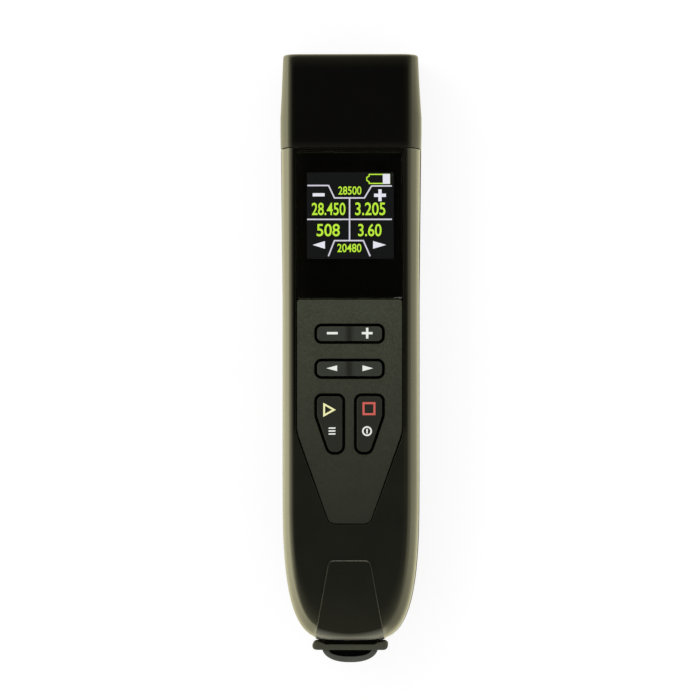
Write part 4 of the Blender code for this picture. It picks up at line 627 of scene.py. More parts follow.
def rounded(corners: Array, grow: float = 0.0, steps: int = 10) -> Array:
    """The outline of a convex polygon with its sides moved out and its corners made arcs.

    A moved corner is where its two moved sides cross. The arc's centre stands back from it along
    the side by radius times the tangent of half the turn, and one radius inwards.

    Args:
        corners: Rows of x, y and corner radius, anticlockwise.
        grow: How far each side moves outwards.
        steps: Segments of each corner.

    Returns:
        The outline's points, one row each.
    """
    place = corners[:, :2]
    along = np.roll(place, -1, 0) - place
    along /= np.linalg.norm(along, axis=1, keepdims=True)
    start = place + np.column_stack([along[:, 1], -along[:, 0]]) * grow
    before, into = np.roll(start, 1, 0), np.roll(along, 1, 0)
    turn = into[:, 0] * along[:, 1] - into[:, 1] * along[:, 0]
    reach = start - before
    share = (reach[:, 0] * along[:, 1] - reach[:, 1] * along[:, 0]) / turn
    corner = before + into * share[:, None]
    radius = np.maximum(corners[:, 2] + grow, 0.05)
    angle = np.arccos(np.clip((into * along).sum(1), -1, 1))
    centre = corner - into * (radius * np.tan(angle / 2))[:, None]
    centre += np.column_stack([-into[:, 1], into[:, 0]]) * radius[:, None]
    first = np.arctan2(-into[:, 0], into[:, 1])
    turned = first[:, None] + angle[:, None] * np.linspace(0, 1, steps + 1)
    ring = np.stack([np.cos(turned), np.sin(turned)], -1) * radius[:, None, None]
    return (centre[:, None] + ring).reshape(-1, 2)


def rectangle(width: float, height: float, radius: float, x: float = 0.0, y: float = 0.0) -> Array:
    """The corners of a rounded rectangle.

    Args:
        width: Size along X.
        height: Size along Y.
        radius: Corner radius.
        x: Middle along X.
        y: Middle along Y.

    Returns:
        Four rows of x, y and corner radius, anticlockwise.
    """
    signs = np.array([(-1, -1), (1, -1), (1, 1), (-1, 1)])
    return np.column_stack([signs * (width / 2, height / 2) + (x, y), np.full(4, radius)])


def stroke(path: list[tuple[float, float]], width: float, closed: bool = False) -> list[Array]:
    """The outline of a line of even width.

    Each point moves half the width along the mitre of its two sides, which is the sum of their
    normals over one plus their product.

    Args:
        path: The line's points.
        width: The line's width.
        closed: Whether the line runs back to its start.

    Returns:
        One loop, or an outer and an inner loop for a closed line.
    """
    points = np.array(path, float)
    along = np.roll(points, -1, 0) - points
    along /= np.linalg.norm(along, axis=1, keepdims=True)
    before = np.roll(along, 1, 0)
    if not closed:
        before[0] = along[0]
        along[-1] = before[-1]
    normal = np.column_stack([along[:, 1], -along[:, 0]])
    other = np.column_stack([before[:, 1], -before[:, 0]])
    mitre = (normal + other) / (1 + (normal * other).sum(1, keepdims=True))
    right, left = points + mitre * width / 2, points - mitre * width / 2
    return [right, left] if closed else [np.concatenate([right, left[::-1]])]


def disc(radius: float, x: float = 0.0, y: float = 0.0, count: int = 48) -> Array:
    """A circle's points: its middle plus the radius times the cosine and sine of an even turn."""
    turn = np.linspace(0, 2 * np.pi, count, endpoint=False)
    return np.column_stack([x + radius * np.cos(turn), y + radius * np.sin(turn)])


def columns(*parts: Array | float) -> Array:
    """Columns side by side, with a single number repeated down its column."""
    return np.column_stack(np.broadcast_arrays(*parts))


def quarter(count: int) -> tuple[Array, Array]:
    """One less the sine, and one less the cosine, at evenly spaced angles of a quarter turn."""
    turn = np.linspace(0, np.pi / 2, count)
    return 1 - np.sin(turn), 1 - np.cos(turn)


def cleaned(mesh: Mesh, merge: float = 1e-7) -> Mesh:
    """Merges doubled points and turns every face outwards.

    Args:
        mesh: The mesh, in metres.
        merge: How near two points are to be one.

    Returns:
        The same mesh.
    """
    form = bmesh.new()
    form.from_mesh(mesh)
    bmesh.ops.remove_doubles(form, verts=form.verts, dist=merge)
    bmesh.ops.dissolve_degenerate(form, edges=form.edges, dist=merge)
    bmesh.ops.recalc_face_normals(form, faces=form.faces)
    form.to_mesh(mesh)
    form.free()
    return mesh


def surface(name: str, points: Array, wrap: bool = True, capped: bool = True) -> Mesh:
    """A mesh from a grid of points, rows along a path and columns round the section.

    Args:
        name: The mesh's name.
        points: Rows by columns by 3, in millimetres.
        wrap: Whether the last column joins the first.
        capped: Whether the first and last rows are closed by a face.

    Returns:
        The mesh, in metres.
    """
    rows, around = points.shape[:2]
    spot = np.arange(rows * around).reshape(rows, around)
    after = np.roll(spot, -1, 1) if wrap else spot[:, 1:]
    here = spot if wrap else spot[:, :-1]
    quads = np.stack([here[:-1], after[:-1], after[1:], here[1:]], -1).reshape(-1, 4).tolist()
    if capped:
        quads += [spot[0].tolist(), spot[-1].tolist()]
    mesh = bpy.data.meshes.new(name)
    mesh.from_pydata((points.reshape(-1, 3) * MM).tolist(), [], quads)
    return cleaned(mesh)


def turned(name: str, profile: Array, centre: tuple[float, float], sides: int) -> Mesh:
    """A turned surface: each profile point runs round an axis along Y at its radius.

    Args:
        name: The mesh's name.
        profile: Rows of radius and place along the axis; it closes at the poles where the radius is 0.
        centre: Where the axis stands along X and Z.
        sides: Columns round the axis.

    Returns:
        The mesh, in metres.
    """
    turn = np.linspace(0, 2 * np.pi, sides, endpoint=False)
    radius, along = profile[:, :1], np.repeat(profile[:, 1:], sides, 1)
    x, z = centre[0] + radius * np.cos(turn), centre[1] + radius * np.sin(turn)
    return surface(name, np.stack([x, along, z], -1), capped=False)


def curve_mesh(curve: bpy.types.Curve, height: float) -> Mesh:
    """Makes a flat curve or a text in millimetres a closed mesh in metres.

    Args:
        curve: The curve, which is removed.
        height: Where its middle goes along Z, in millimetres.

    Returns:
        The mesh.
    """
    holder = bpy.data.objects.new(curve.name, curve)
    mesh = bpy.data.meshes.new_from_object(holder)
    bpy.data.objects.remove(holder)
    points = np.empty(len(mesh.vertices) * 3)
    mesh.vertices.foreach_get("co", points)
    points = (points.reshape(-1, 3) + (0, 0, height)) * MM
    mesh.vertices.foreach_set("co", points.ravel())
    mesh.materials.clear()
    return cleaned(mesh)


def plate(name: str, loops: list[Array], low: float, high: float, edge: float = 0.0) -> Mesh:
    """A flat plate of any outline with holes, its edges rounded.

    Args:
        name: The mesh's name.
        loops: The outline and the holes, as rows of x and y.
        low: Its lower face.
        high: Its upper face.
        edge: Radius of its edges.

    Returns:
        The mesh, in metres.
    """
    curve = bpy.data.curves.new(name, "CURVE")
    curve.dimensions = "2D"
    curve.fill_mode = "BOTH"
    curve.extrude = (high - low) / 2 - edge
    curve.bevel_depth = edge
    curve.bevel_resolution = 3
    curve.offset = -edge
    for loop in loops:
        spline = curve.splines.new("POLY")
        spline.points.add(len(loop) - 1)
        flat = np.column_stack([loop, np.zeros(len(loop)), np.ones(len(loop))])
        spline.points.foreach_set("co", flat.ravel())
        spline.use_cyclic_u = True
    return curve_mesh(curve, (low + high) / 2)


def merged_copy(node: str) -> Mesh:
    """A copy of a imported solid's mesh with its loose triangles joined.

    Points that agree to a ten-thousandth of a millimetre become one.

    Args:
        node: The solid's name.

    Returns:
        The new mesh, in metres.
    """
    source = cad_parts[node].data
    points = np.empty(len(source.vertices) * 3)
    source.vertices.foreach_get("co", points)
    source.calc_loop_triangles()
    corners = np.empty(len(source.loop_triangles) * 3, np.int32)
    source.loop_triangles.foreach_get("vertices", corners)
    spots, index = np.unique(np.round(points.reshape(-1, 3), 7), axis=0, return_inverse=True)
    faces = index.reshape(-1)[corners].reshape(-1, 3)
    kept = (faces[:, 0] != faces[:, 1]) & (faces[:, 1] != faces[:, 2]) & (faces[:, 2] != faces[:, 0])
    mesh = bpy.data.meshes.new(node)
    mesh.from_pydata(spots.tolist(), [], faces[kept].tolist())
    return mesh


def place_piece(
    name: str, mesh: Mesh, finish: Finish, body: Body, slot: str, *nodes: str, sharp: float = 35.0
) -> bpy.types.Object:
    """Puts a mesh into the scene as a piece that rides on a body.

    Args:
        name: The piece's name.
        mesh: Its mesh, in metres.
        finish: Its finish.
        body: The body that it rides on.
        slot: The record's slot; not used.
        *nodes: The solids that it stands for.
        sharp: Edges over this angle, in degrees, stay sharp.

    Returns:
        The object.
    """
    mesh.name = name
    mesh.materials.append(finish.material())
    mesh.shade_smooth()
    mesh.set_sharp_from_angle(angle=math.radians(sharp))
    made = bpy.data.objects.new(name, mesh)
    bpy.context.scene.collection.objects.link(made)
    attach(made, body.value)
    if nodes:
        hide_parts(*nodes)
    log.info("%s: %d faces on %s", name, len(mesh.polygons), body.value)
    return made


@dataclass
class CaseForm:
    """The form that the case and the cap share: a rounded bar lying on its back."""

    body_half: float = 21.0
    parting_z: float = 18.0
    face_z: float = 35.6
    arcs: tuple[tuple[float, float, float], ...] = ((36.0, 0.0, 20.0), (3.0, 20.0, 90.0))
    back_edge_in: float = 5.2
    back_edge_high: float = 7.5
    back_draft: float = 0.25
    end_start_y: float = -37.8
    end_length: float = 49.0
    end_powers: tuple[float, float] = (4.3, 2.95)

    def end_at(self, x: Array) -> Array:
        """Where the curved end lies at x: its shares across and along, each to its power, sum to one."""
        across, along = self.end_powers
        left = 1 - (np.abs(x) / self.body_half) ** across
        return self.end_start_y - self.end_length * left ** (1 / along)

    def leaned(self, half: Array, z: Array) -> Array:
        """Half a width at a height: what it is over the body's fades out in proportion to the face."""
        return self.body_half + (half - self.body_half) * (1 - self.share(z))

    def share(self, z: Array) -> Array:
        """How far a height lies from the parting plane towards the face, 0 to 1."""
        return np.clip((z - self.parting_z) / (self.face_z - self.parting_z), 0, 1)

    def section(self, low: float, high: float, back: int = 14, steps: int = 12) -> Array:
        """The section's levels: a quarter ellipse at the back, an upright side and two arcs to the face.

        An arc rises by its radius times the sine of its lean, and draws in by the cosine's loss.

        Args:
            low: Height of the back.
            high: Height of the face.
            back: Steps of the back edge.
            steps: Steps of each arc.

        Returns:
            Rows of height and how far the side is drawn in.
        """
        falling, rising = quarter(back + 1)
        first = columns(self.back_edge_high * rising, self.back_draft + self.back_edge_in * falling)
        radius = np.array(self.arcs)[:, 0]
        start, end = np.radians(np.array(self.arcs)[:, 1:]).T
        place = np.array([self.face_z - (radius * (np.sin(end) - np.sin(start))).sum(), 0.0])
        rows = [first, [(self.parting_z, 0.0)], [place]]
        for size, low_turn, high_turn in zip(radius, start, end):
            turn = np.linspace(low_turn, high_turn, steps + 1)[1:]
            rise = size * (np.sin(turn) - np.sin(low_turn))
            rows.append(place + columns(rise, size * (np.cos(low_turn) - np.cos(turn))))
            place = rows[-1][-1]
        found = np.concatenate(rows)
        over = found[:, 0] - self.parting_z
        down = over * (self.parting_z - low) / self.parting_z
        up = over * (high - self.parting_z) / (self.face_z - self.parting_z)
        found[:, 0] = self.parting_z + np.where(over < 0, down, up)
        return found


@dataclass
class Shells:
    """The case's two halves and what closes the back: their packed form, joined and smoothed."""

    def build(self) -> None:
        """Takes a joined copy of each solid, smooths it by angle and weighs its normals by area."""
        for node, slot, finish in (
            ("front_shell", "graphite_plastic", CASE_GRAPHITE),
            ("rear_shell", "graphite_plastic", CASE_GRAPHITE),
            ("battery_door", "graphite_plastic", CASE_GRAPHITE),
            ("cover_tether", "cover_rubber", COVER_OLIVE),
        ):
            made = place_piece(f"{node}_skin", merged_copy(node), finish, Body.CASE, slot, node)
            weighted = made.modifiers.new("weighted", "WEIGHTED_NORMAL")
            weighted.keep_sharp = True


@dataclass
class Cap:
    """The cap over the aerial socket: a hollow section carried along Y, closed at its end."""

    form: CaseForm = field(default_factory=CaseForm)
    seam_y: float = 63.4
    fit: float = 0.25
    top_y: float = 92.5
    half: float = 21.5
    end_half: float = 20.45
    belly: float = 0.12
    belly_up: float = 6.0
    taper_up: float = 10.0
    taper_power: float = 0.9
    end_edge: float = 0.9
    end_lean: float = 0.7
    end_round: tuple[float, float] = (5.0, 2.2)
    rim_edge: float = 0.12
    rim_round: tuple[float, float] = (0.3, 0.06)
    wall: float = 1.9
    end_wall: float = 2.2
    rim_steps: int = 6
    end_steps: int = 9
    side_rows: int = 90
    lean_row: int = 54
    inner_rows: int = 12

    def half_at(self, y: Array) -> Array:
        """Half the width: a quarter sine swells it over the seam, then a power curve narrows it."""
        up = y - self.seam_y
        swell = self.half + self.belly * np.sin(np.pi / 2 * np.clip(up / self.belly_up, 0, 1))
        share = np.clip((up - self.taper_up) / (self.top_y - self.seam_y - self.taper_up), 0, None)
        return swell + (self.end_half - self.half - self.belly) * share**self.taper_power

    def drop(self, y: Array) -> Array:
        """How far the face falls near the cap's two ends, each along a quarter ellipse."""
        length, depth = self.end_round
        up = np.clip((y - self.top_y + length) / length, 0, 1)
        rim_length, rim_depth = self.rim_round
        down = np.clip((self.seam_y + self.fit + rim_length - y) / rim_length, 0, 1)
        return depth * (1 - np.sqrt(1 - up**2)) + rim_depth * (1 - np.sqrt(1 - down**2))

    def rings(self, path: Array) -> Array:
        """The section at each place of a path: both sides of the levels, drawn in all round.

        A ring may lean: it is set back in proportion to its height over the parting plane.

        Args:
            path: Rows of place along Y, half the width, how far the ring is drawn in, its lean and its drop.

        Returns:
            A grid of points, one row for each ring.
        """
        rows = []
        for y, half, drawn_in, lean, drop in path:
            level = self.form.section(drawn_in, self.form.face_z - drawn_in - drop)
            x = self.form.leaned(half, level[:, 0]) - level[:, 1] - drawn_in
            right = columns(x, y - lean * self.form.share(level[:, 0]), level[:, 0])
            rows.append(np.concatenate([right, right[::-1] * (-1, 1, 1)]))
        return np.array(rows)

    def build(self) -> None:
        """Carries the section out along the outside, round both edges and back inside."""
        low, high = self.seam_y + self.fit, self.top_y - self.end_edge
        falling, rising = quarter(self.rim_steps)
        rim_y, rim_in = low + self.rim_edge * falling, self.rim_edge * rising
        side_y = np.linspace(low + self.rim_edge, high, self.side_rows)
        lean_y = side_y[self.lean_row]
        side_lean = self.end_lean * np.clip((side_y - lean_y) / (high - lean_y), 0, 1)
        falling, rising = (part[1:] for part in quarter(self.end_steps))
        end_y, end_in = high + self.end_edge * (1 - falling), self.end_edge * rising
        inner_y = np.linspace(low + self.rim_edge, self.top_y - self.end_wall, self.inner_rows)
        inner_half = np.minimum(self.half_at(inner_y), self.half)
        inner_lean = self.end_lean * (inner_y > high - 4 * self.end_edge)
        path = np.concatenate(
            [
                columns(end_y, self.half_at(high), end_in, self.end_lean, self.drop(end_y))[::-1],
                columns(side_y, self.half_at(side_y), 0.0, side_lean, self.drop(side_y))[::-1],
                columns(rim_y, self.half_at(rim_y), rim_in, 0.0, self.drop(rim_y))[1:],
                columns(rim_y, self.half, self.wall - rim_in, 0.0, 0.0)[::-1][:-1],
                columns(inner_y, inner_half, self.wall, inner_lean, 0.0),
            ]
        )
        mesh = surface("cap", self.rings(path))
        place_piece("cap_shell", mesh, CAP_BLACK, Body.CAP, "cap_plastic", "connector_cap")


@dataclass
class FacePlates:
    """The two plates in the pocket of the face: the clear window and the key panel."""

    half: float = 15.9
    top_y: float = 62.1
    window_end_y: float = 17.8
    panel_top_y: float = 17.5
    panel_end_y: float = -50.2
    taper_y: float = -22.4
    end_half: float = 6.1
    corner: float = 0.8
    side_corner: float = 11.0
    end_corner: float = 2.4
    low_z: float = 33.8
    high_z: float = 35.35
    panel_edge: float = 0.15
    glass_edge: float = 0.2
    mask_thick: float = 0.1
    mask_gap: float = 0.01
    opening_half: float = 13.1
    opening_corner: float = 0.3
    opening_x: float = 0.2
    opening_y: float = 43.0
    key_gap: float = 0.76

    def outline(self) -> Array:
        """The key panel's outline: straight sides that run in to a narrow, rounded end."""
        corners = np.array(
            [
                (self.half, self.panel_top_y, self.corner),
                (-self.half, self.panel_top_y, self.corner),
                (-self.half, self.taper_y, self.side_corner),
                (-self.end_half, self.panel_end_y, self.end_corner),
                (self.end_half, self.panel_end_y, self.end_corner),
                (self.half, self.taper_y, self.side_corner),
            ]
        )
        return rounded(corners, steps=16)

    def build(self, keys: "Keys") -> None:
        """Builds the panel with its openings, and the window over its black printed mask.

        Args:
            keys: The keys that the openings are cut for.
        """
        holes = [rounded(corners, self.key_gap, 12) for corners in keys.corners().values()]
        panel = plate("panel", [self.outline(), *holes], self.low_z, self.high_z, self.panel_edge)
        place_piece("panel_plate", panel, PANEL_GREY, Body.CASE, "panel_plastic", "key_panel")
        middle = (self.top_y + self.window_end_y) / 2
        length = self.top_y - self.window_end_y
        rim = rounded(rectangle(2 * self.half, length, self.corner, 0.0, middle), steps=12)
        mask_z = self.low_z + self.mask_thick
        glass = plate("glass", [rim], mask_z + self.mask_gap, self.high_z, self.glass_edge)
        place_piece("window_glass", glass, GLASS, Body.CASE, "window_acrylic", "display_window")
        side = 2 * self.opening_half
        opening = rectangle(side, side, self.opening_corner, self.opening_x, self.opening_y)
        mask = plate("mask", [rim, rounded(opening, steps=6)], self.low_z, mask_z)
        place_piece("window_mask", mask, MASK_BLACK, Body.CASE, "window_acrylic", "display_window")


@dataclass
class Keys:
    """The two rocker keys and the two long keys, each a soft pillow on a straight-sided body."""

    top_z: float = 36.0
    low_z: float = 32.6
    flange_z: float = 33.5
    edge: float = 0.4
    trim: float = 0.08
    rocker_width: float = 19.8
    rocker_height: float = 4.6
    rocker_corner: float = 1.45
    zoom_y: float = 7.2
    cursor_y: float = -3.4
    ear_reach: float = 4.1
    ear_half: float = 2.0
    ear_corner: float = 0.5
    ear_gap: float = 0.05
    spread: float = 2.1
    long_top_y: float = -11.6
    long_length: float = 17.0
    long_width: float = 7.8
    long_corners: tuple[float, ...] = (1.9, 1.9, 3.0, 1.5, 1.5)
    foot_width: float = 4.05
    straight: float = 6.0
    flange_reach: float = 0.9
    flange_gap: float = 0.02
    flange_edge: float = 0.1
    saddle: float = 0.30
    saddle_half: float = 0.85
    rocker_line: float = 0.2
    long_middle: float = 1.7
    edge_steps: int = 7
    top_rings: int = 8
    corner_steps: int = 10
    around: int = 300

    def corners(self) -> dict[str, Array]:
        """The corners of every key, by name."""
        inner, top, foot = self.spread, self.long_top_y, self.long_top_y - self.long_length
        x = [inner, inner + self.foot_width, inner + self.long_width, inner + self.long_width, inner]
        y = [foot, foot, top - self.straight, top, top]
        stop = np.column_stack([x, y, self.long_corners])
        rocker = (self.rocker_width, self.rocker_height, self.rocker_corner, 0.0)
        return {
            "zoom": rectangle(*rocker, self.zoom_y),
            "cursor": rectangle(*rocker, self.cursor_y),
            "run": (stop * (-1, 1, 1))[::-1],
            "stop": stop,
        }

    def rings(self, corners: Array, middle: float, rocker: bool) -> Array:
        """The key's surface: rings that shrink from the edge to the middle line.

        The edge is a quarter circle, and the top inside it is flat. On a rocker a bell curve across
        its middle sinks a saddle between two pads, and the first and last rings close on its long line:
        the points start at the middle of the left side, so the two long sides meet point for point.

        Args:
            corners: The key's corners.
            middle: How far in the last ring lies.
            rocker: Whether the key has a saddle.

        Returns:
            A grid of points.
        """
        falling, rising = quarter(self.edge_steps)
        inner = np.linspace(self.edge, middle, self.top_rings + 1)[1:]
        grow = -np.concatenate([[0.0], self.edge * rising, inner]) - self.trim
        level = np.full(self.top_rings, self.top_z)
        height = np.concatenate([[self.low_z], self.top_z - self.edge * falling, level])
        outer = rounded(corners, steps=self.corner_steps)
        along = np.linalg.norm(np.roll(outer, -1, 0) - outer, axis=1)
        along = np.concatenate([[0.0], np.cumsum(along)])
        start = (self.rocker_corner - self.rocker_height / 2) * rocker
        spots = (np.linspace(0, along[-1], self.around, endpoint=False) + start) % along[-1]
        spots = np.interp(spots, along, np.arange(len(along)))
        rows = []
        for step, z in zip(grow, height):
            ring = rounded(corners, step, self.corner_steps)
            ring = np.concatenate([ring, ring[:1]])
            flat = np.column_stack([np.interp(spots, np.arange(len(ring)), axis) for axis in ring.T])
            bell = np.exp(-((flat[:, 0] / self.saddle_half) ** 4)) * (rocker and z > self.flange_z)
            rows.append(columns(*flat.T, z - self.saddle * bell))
        if rocker:
            flat, line = (1, 0, 1), (0, corners[:, 1].mean(), 0)
            rows = [rows[0] * flat + line, *rows, rows[-1] * flat + line]
        return np.array(rows)

    def skirt(self, loop: Array, gap: float) -> Mesh:
        """The flat part of a key that lies under the panel, its top a gap below the flange's."""
        return plate("skirt", [loop], self.low_z, self.flange_z - gap, self.flange_edge)

    def build(self) -> None:
        """Builds the four keys, the rockers' ears and the long keys' flanges."""
        shapes = self.corners()
        for name, body, y in (("zoom", Body.ZOOM, self.zoom_y), ("cursor", Body.CURSOR, self.cursor_y)):
            rings = self.rings(shapes[name], self.rocker_height / 2 - self.rocker_line, True)
            mesh = surface(name, rings, capped=False)
            place_piece(f"{name}_cap", mesh, KEY_GREY, body, "key_rubber", f"{name}_rocker", sharp=60)
            bar = rounded(rectangle(2 * self.ear_half, 2 * self.ear_reach, self.ear_corner, 0.0, y), steps=6)
            ears = self.skirt(bar, self.ear_gap)
            place_piece(f"{name}_ears", ears, KEY_FOOT_SHADE, body, "key_rubber", f"{name}_rocker")
        for name, body in (("run", Body.RUN), ("stop", Body.STOP)):
            mesh = surface(name, self.rings(shapes[name], self.long_middle, False))
            place_piece(f"{name}_cap", mesh, LONG_KEY_SHADED_GREY, body, "key_rubber", f"{name}_key", sharp=60)
            brim = self.skirt(rounded(shapes[name], self.flange_reach, 8), self.flange_gap)
            place_piece(f"{name}_brim", brim, KEY_FOOT_SHADE, body, "key_rubber", f"{name}_key")


@dataclass
class KeyMarks:
    """The marks printed on the keys, drawn in millimetres from the case's middle."""

    keys: Keys
    reach: float = 5.25
    up: float = 0.17
    thick: float = 0.03
    lift: float = 0.01
    arm: float = 1.63
    arm_half: float = 0.36
    list_y: float = -21.31
    list_pitch: float = 0.88
    ring_middle: tuple[float, float] = (5.30, -22.22)
    ring_radii: tuple[float, float] = (1.50, 1.02)

    def put(self, name: str, loops: list[Array], finish: Finish, body: Body) -> None:
        """Lays a printed mark on a key.

        Args:
            name: The mark's name.
            loops: Its outline and holes.
            finish: Its ink.
            body: The key's body.
        """
        low = self.keys.top_z + self.lift
        place_piece(f"mark_{name}", plate(name, loops, low, low + self.thick), finish, body, "key_rubber")

    def rockers(self) -> None:
        """Builds the minus and the plus of one rocker and the two arrows of the other."""
        x, y = self.reach, self.keys.zoom_y + self.up
        minus = rounded(rectangle(3.3, 0.72, 0.08, -x + 0.06, y), steps=3)
        self.put("minus", [minus], MARK_WHITE, Body.ZOOM)
        arm, half = self.arm, self.arm_half
        plus = np.array(
            [
                (-half, -arm), (half, -arm), (half, -half), (arm, -half), (arm, half), (half, half),
                (half, arm), (-half, arm), (-half, half), (-arm, half), (-arm, -half), (-half, -half),
            ]
        )
        self.put("plus", [plus + (x + 0.1, y)], MARK_WHITE, Body.ZOOM)
        y = self.keys.cursor_y + self.up
        arrow = np.array([(1.62, 0.0), (-1.62, 0.88), (-1.62, -0.88)])
        self.put("right", [arrow + (x + 0.3, y)], MARK_WHITE, Body.CURSOR)
        self.put("left", [arrow * (-1, 1) + (-x - 0.1, y)], MARK_WHITE, Body.CURSOR)

    def build(self) -> None:
        """Builds the signs of the rockers and of the two long keys."""
        self.rockers()
        triangle = stroke([(-7.66, -14.10), (-7.66, -17.46), (-4.68, -15.78)], 0.55, True)
        self.put("run", triangle, MARK_YELLOW, Body.RUN)
        for row in range(3):
            low = self.list_y - self.list_pitch * row - 0.22
            high = low + 0.44
            bar = np.array([(-6.36, low), (-4.32, low), (-4.18, high), (-6.22, high)])
            self.put(f"list_{row + 1}", [bar], MARK_WHITE, Body.RUN)
        square = stroke([(4.24, -13.77), (7.54, -13.77), (7.54, -17.09), (4.24, -17.09)], 0.62, True)
        self.put("stop", square, MARK_RED, Body.STOP)
        ring = [disc(radius, *self.ring_middle) for radius in self.ring_radii]
        self.put("ring", ring, MARK_WHITE, Body.STOP)
        stem = rounded(rectangle(0.45, 1.4, 0.05, *self.ring_middle), steps=3)
        self.put("bar", [stem], MARK_WHITE, Body.STOP)


@dataclass
class Reading:
    """A number on the display, with the box that it fills."""

    text: str
    left: float
    right: float
    low: float
    high: float


@dataclass
class Display:
    """The lit picture on the display module: lines, signs and plain numbers in layers."""

    x: float = 0.2
    y: float = 43.0
    half: float = 13.07
    base_z: float = 33.46
    layer: float = 0.02
    line: float = 0.42
    battery_line: float = 0.33
    corner: float = 0.05
    text_size: float = 4.0
    text_bold: float = 0.05
    readings: tuple[Reading, ...] = (
        Reading("28500", -3.62, 3.32, 6.27, 8.78),
        Reading("28.450", -11.60, -1.48, 0.06, 3.84),
        Reading("3.205", 1.46, 10.53, 0.03, 3.93),
        Reading("508", -10.14, -3.17, -6.33, -2.55),
        Reading("3.60", 2.35, 9.38, -6.33, -2.55),
        Reading("20480", -3.92, 3.32, -11.12, -8.59),
    )

    def put(self, name: str, loops: list[Array], finish: Finish, level: int = 1) -> None:
        """Lays one flat figure on the display.

        Args:
            name: The figure's name.
            loops: Its outline and holes, from the middle of the display.
            finish: Its colour.
            level: The layer that it lies in.
        """
        low = self.base_z + self.layer * level
        mesh = plate(name, [loop + (self.x, self.y) for loop in loops], low, low + self.layer)
        place_piece(f"lcd_{name}", mesh, finish, Body.CASE, "display_glass")

    def box(self, width: float, height: float, x: float = 0.0, y: float = 0.0) -> list[Array]:
        """The outline of a filled box round a place on the display."""
        return [rounded(rectangle(width, height, self.corner, x, y), steps=2)]

    def number(self, index: int, reading: Reading) -> None:
        """Sets a number so that it fills its box.

        Each point moves in proportion from the text's own box to the reading's box.

        Args:
            index: The number's place in the list.
            reading: What to set, and where.
        """
        text = bpy.data.curves.new(f"reading_{index}", "FONT")
        text.body = reading.text
        text.size = self.text_size
        text.offset = self.text_bold
        text.extrude = self.layer / 2
        mesh = curve_mesh(text, self.base_z + 1.5 * self.layer)
        points = np.empty(len(mesh.vertices) * 3)
        mesh.vertices.foreach_get("co", points)
        points = points.reshape(-1, 3)
        low, high = points.min(0)[:2], points.max(0)[:2]
        goal = np.array([(reading.left, reading.low), (reading.right, reading.high)])
        goal = (goal + (self.x, self.y)) * MM
        points[:, :2] = goal[0] + (points[:, :2] - low) / (high - low) * (goal[1] - goal[0])
        mesh.vertices.foreach_set("co", points.ravel())
        place_piece(f"lcd_reading_{index}", mesh, LCD_GREEN, Body.CASE, "display_glass")

    def build(self) -> None:
        """Builds the dark ground, the frame lines, the battery sign, the signs and the numbers."""
        self.put("ground", self.box(2 * self.half, 2 * self.half - 0.15), LCD_DARK, 0)
        upper = [(-12.94, 9.05), (-6.55, 9.05), (-4.77, 5.28)]
        upper += [(4.25, 5.28), (6.37, 8.90), (12.49, 8.90)]
        lines = {
            "upper": upper,
            "lower": [(-6.61, -12.36), (-4.77, -7.63), (3.92, -7.63), (5.97, -12.36)],
            "cross": [(-13.0, -1.20), (12.5, -1.20)],
            "middle": [(-0.24, 5.28), (-0.24, -7.63)],
        }
        for name, path in lines.items():
            self.put(f"{name}_line", stroke(path, self.line), LCD_PALE)
        battery = [(11.79, 12.40), (5.67, 12.40), (5.67, 11.89), (4.95, 11.47)]
        battery += [(4.95, 10.55), (5.67, 10.13), (5.67, 9.66), (11.79, 9.66)]
        self.put("battery", stroke(battery, self.battery_line, True), LCD_GREEN)
        self.put("battery_level", self.box(2.15, 3.0, 10.84, 11.03), LCD_WHITE, 2)
        self.put("minus", self.box(3.6, 0.98, -9.53, 6.25), LCD_WHITE)
        self.put("plus_bar", self.box(3.6, 1.0, 8.93, 6.07), LCD_WHITE)
        self.put("plus_post", self.box(1.0, 3.6, 8.93, 6.07), LCD_WHITE, 2)
        self.put("left", [np.array([(-11.37, -8.92), (-7.63, -10.10), (-7.63, -7.76)])], LCD_WHITE)
        self.put("right", [np.array([(10.77, -8.92), (6.85, -7.76), (6.85, -10.10)])], LCD_WHITE)
        for index, reading in enumerate(self.readings, 1):
            self.number(index, reading)


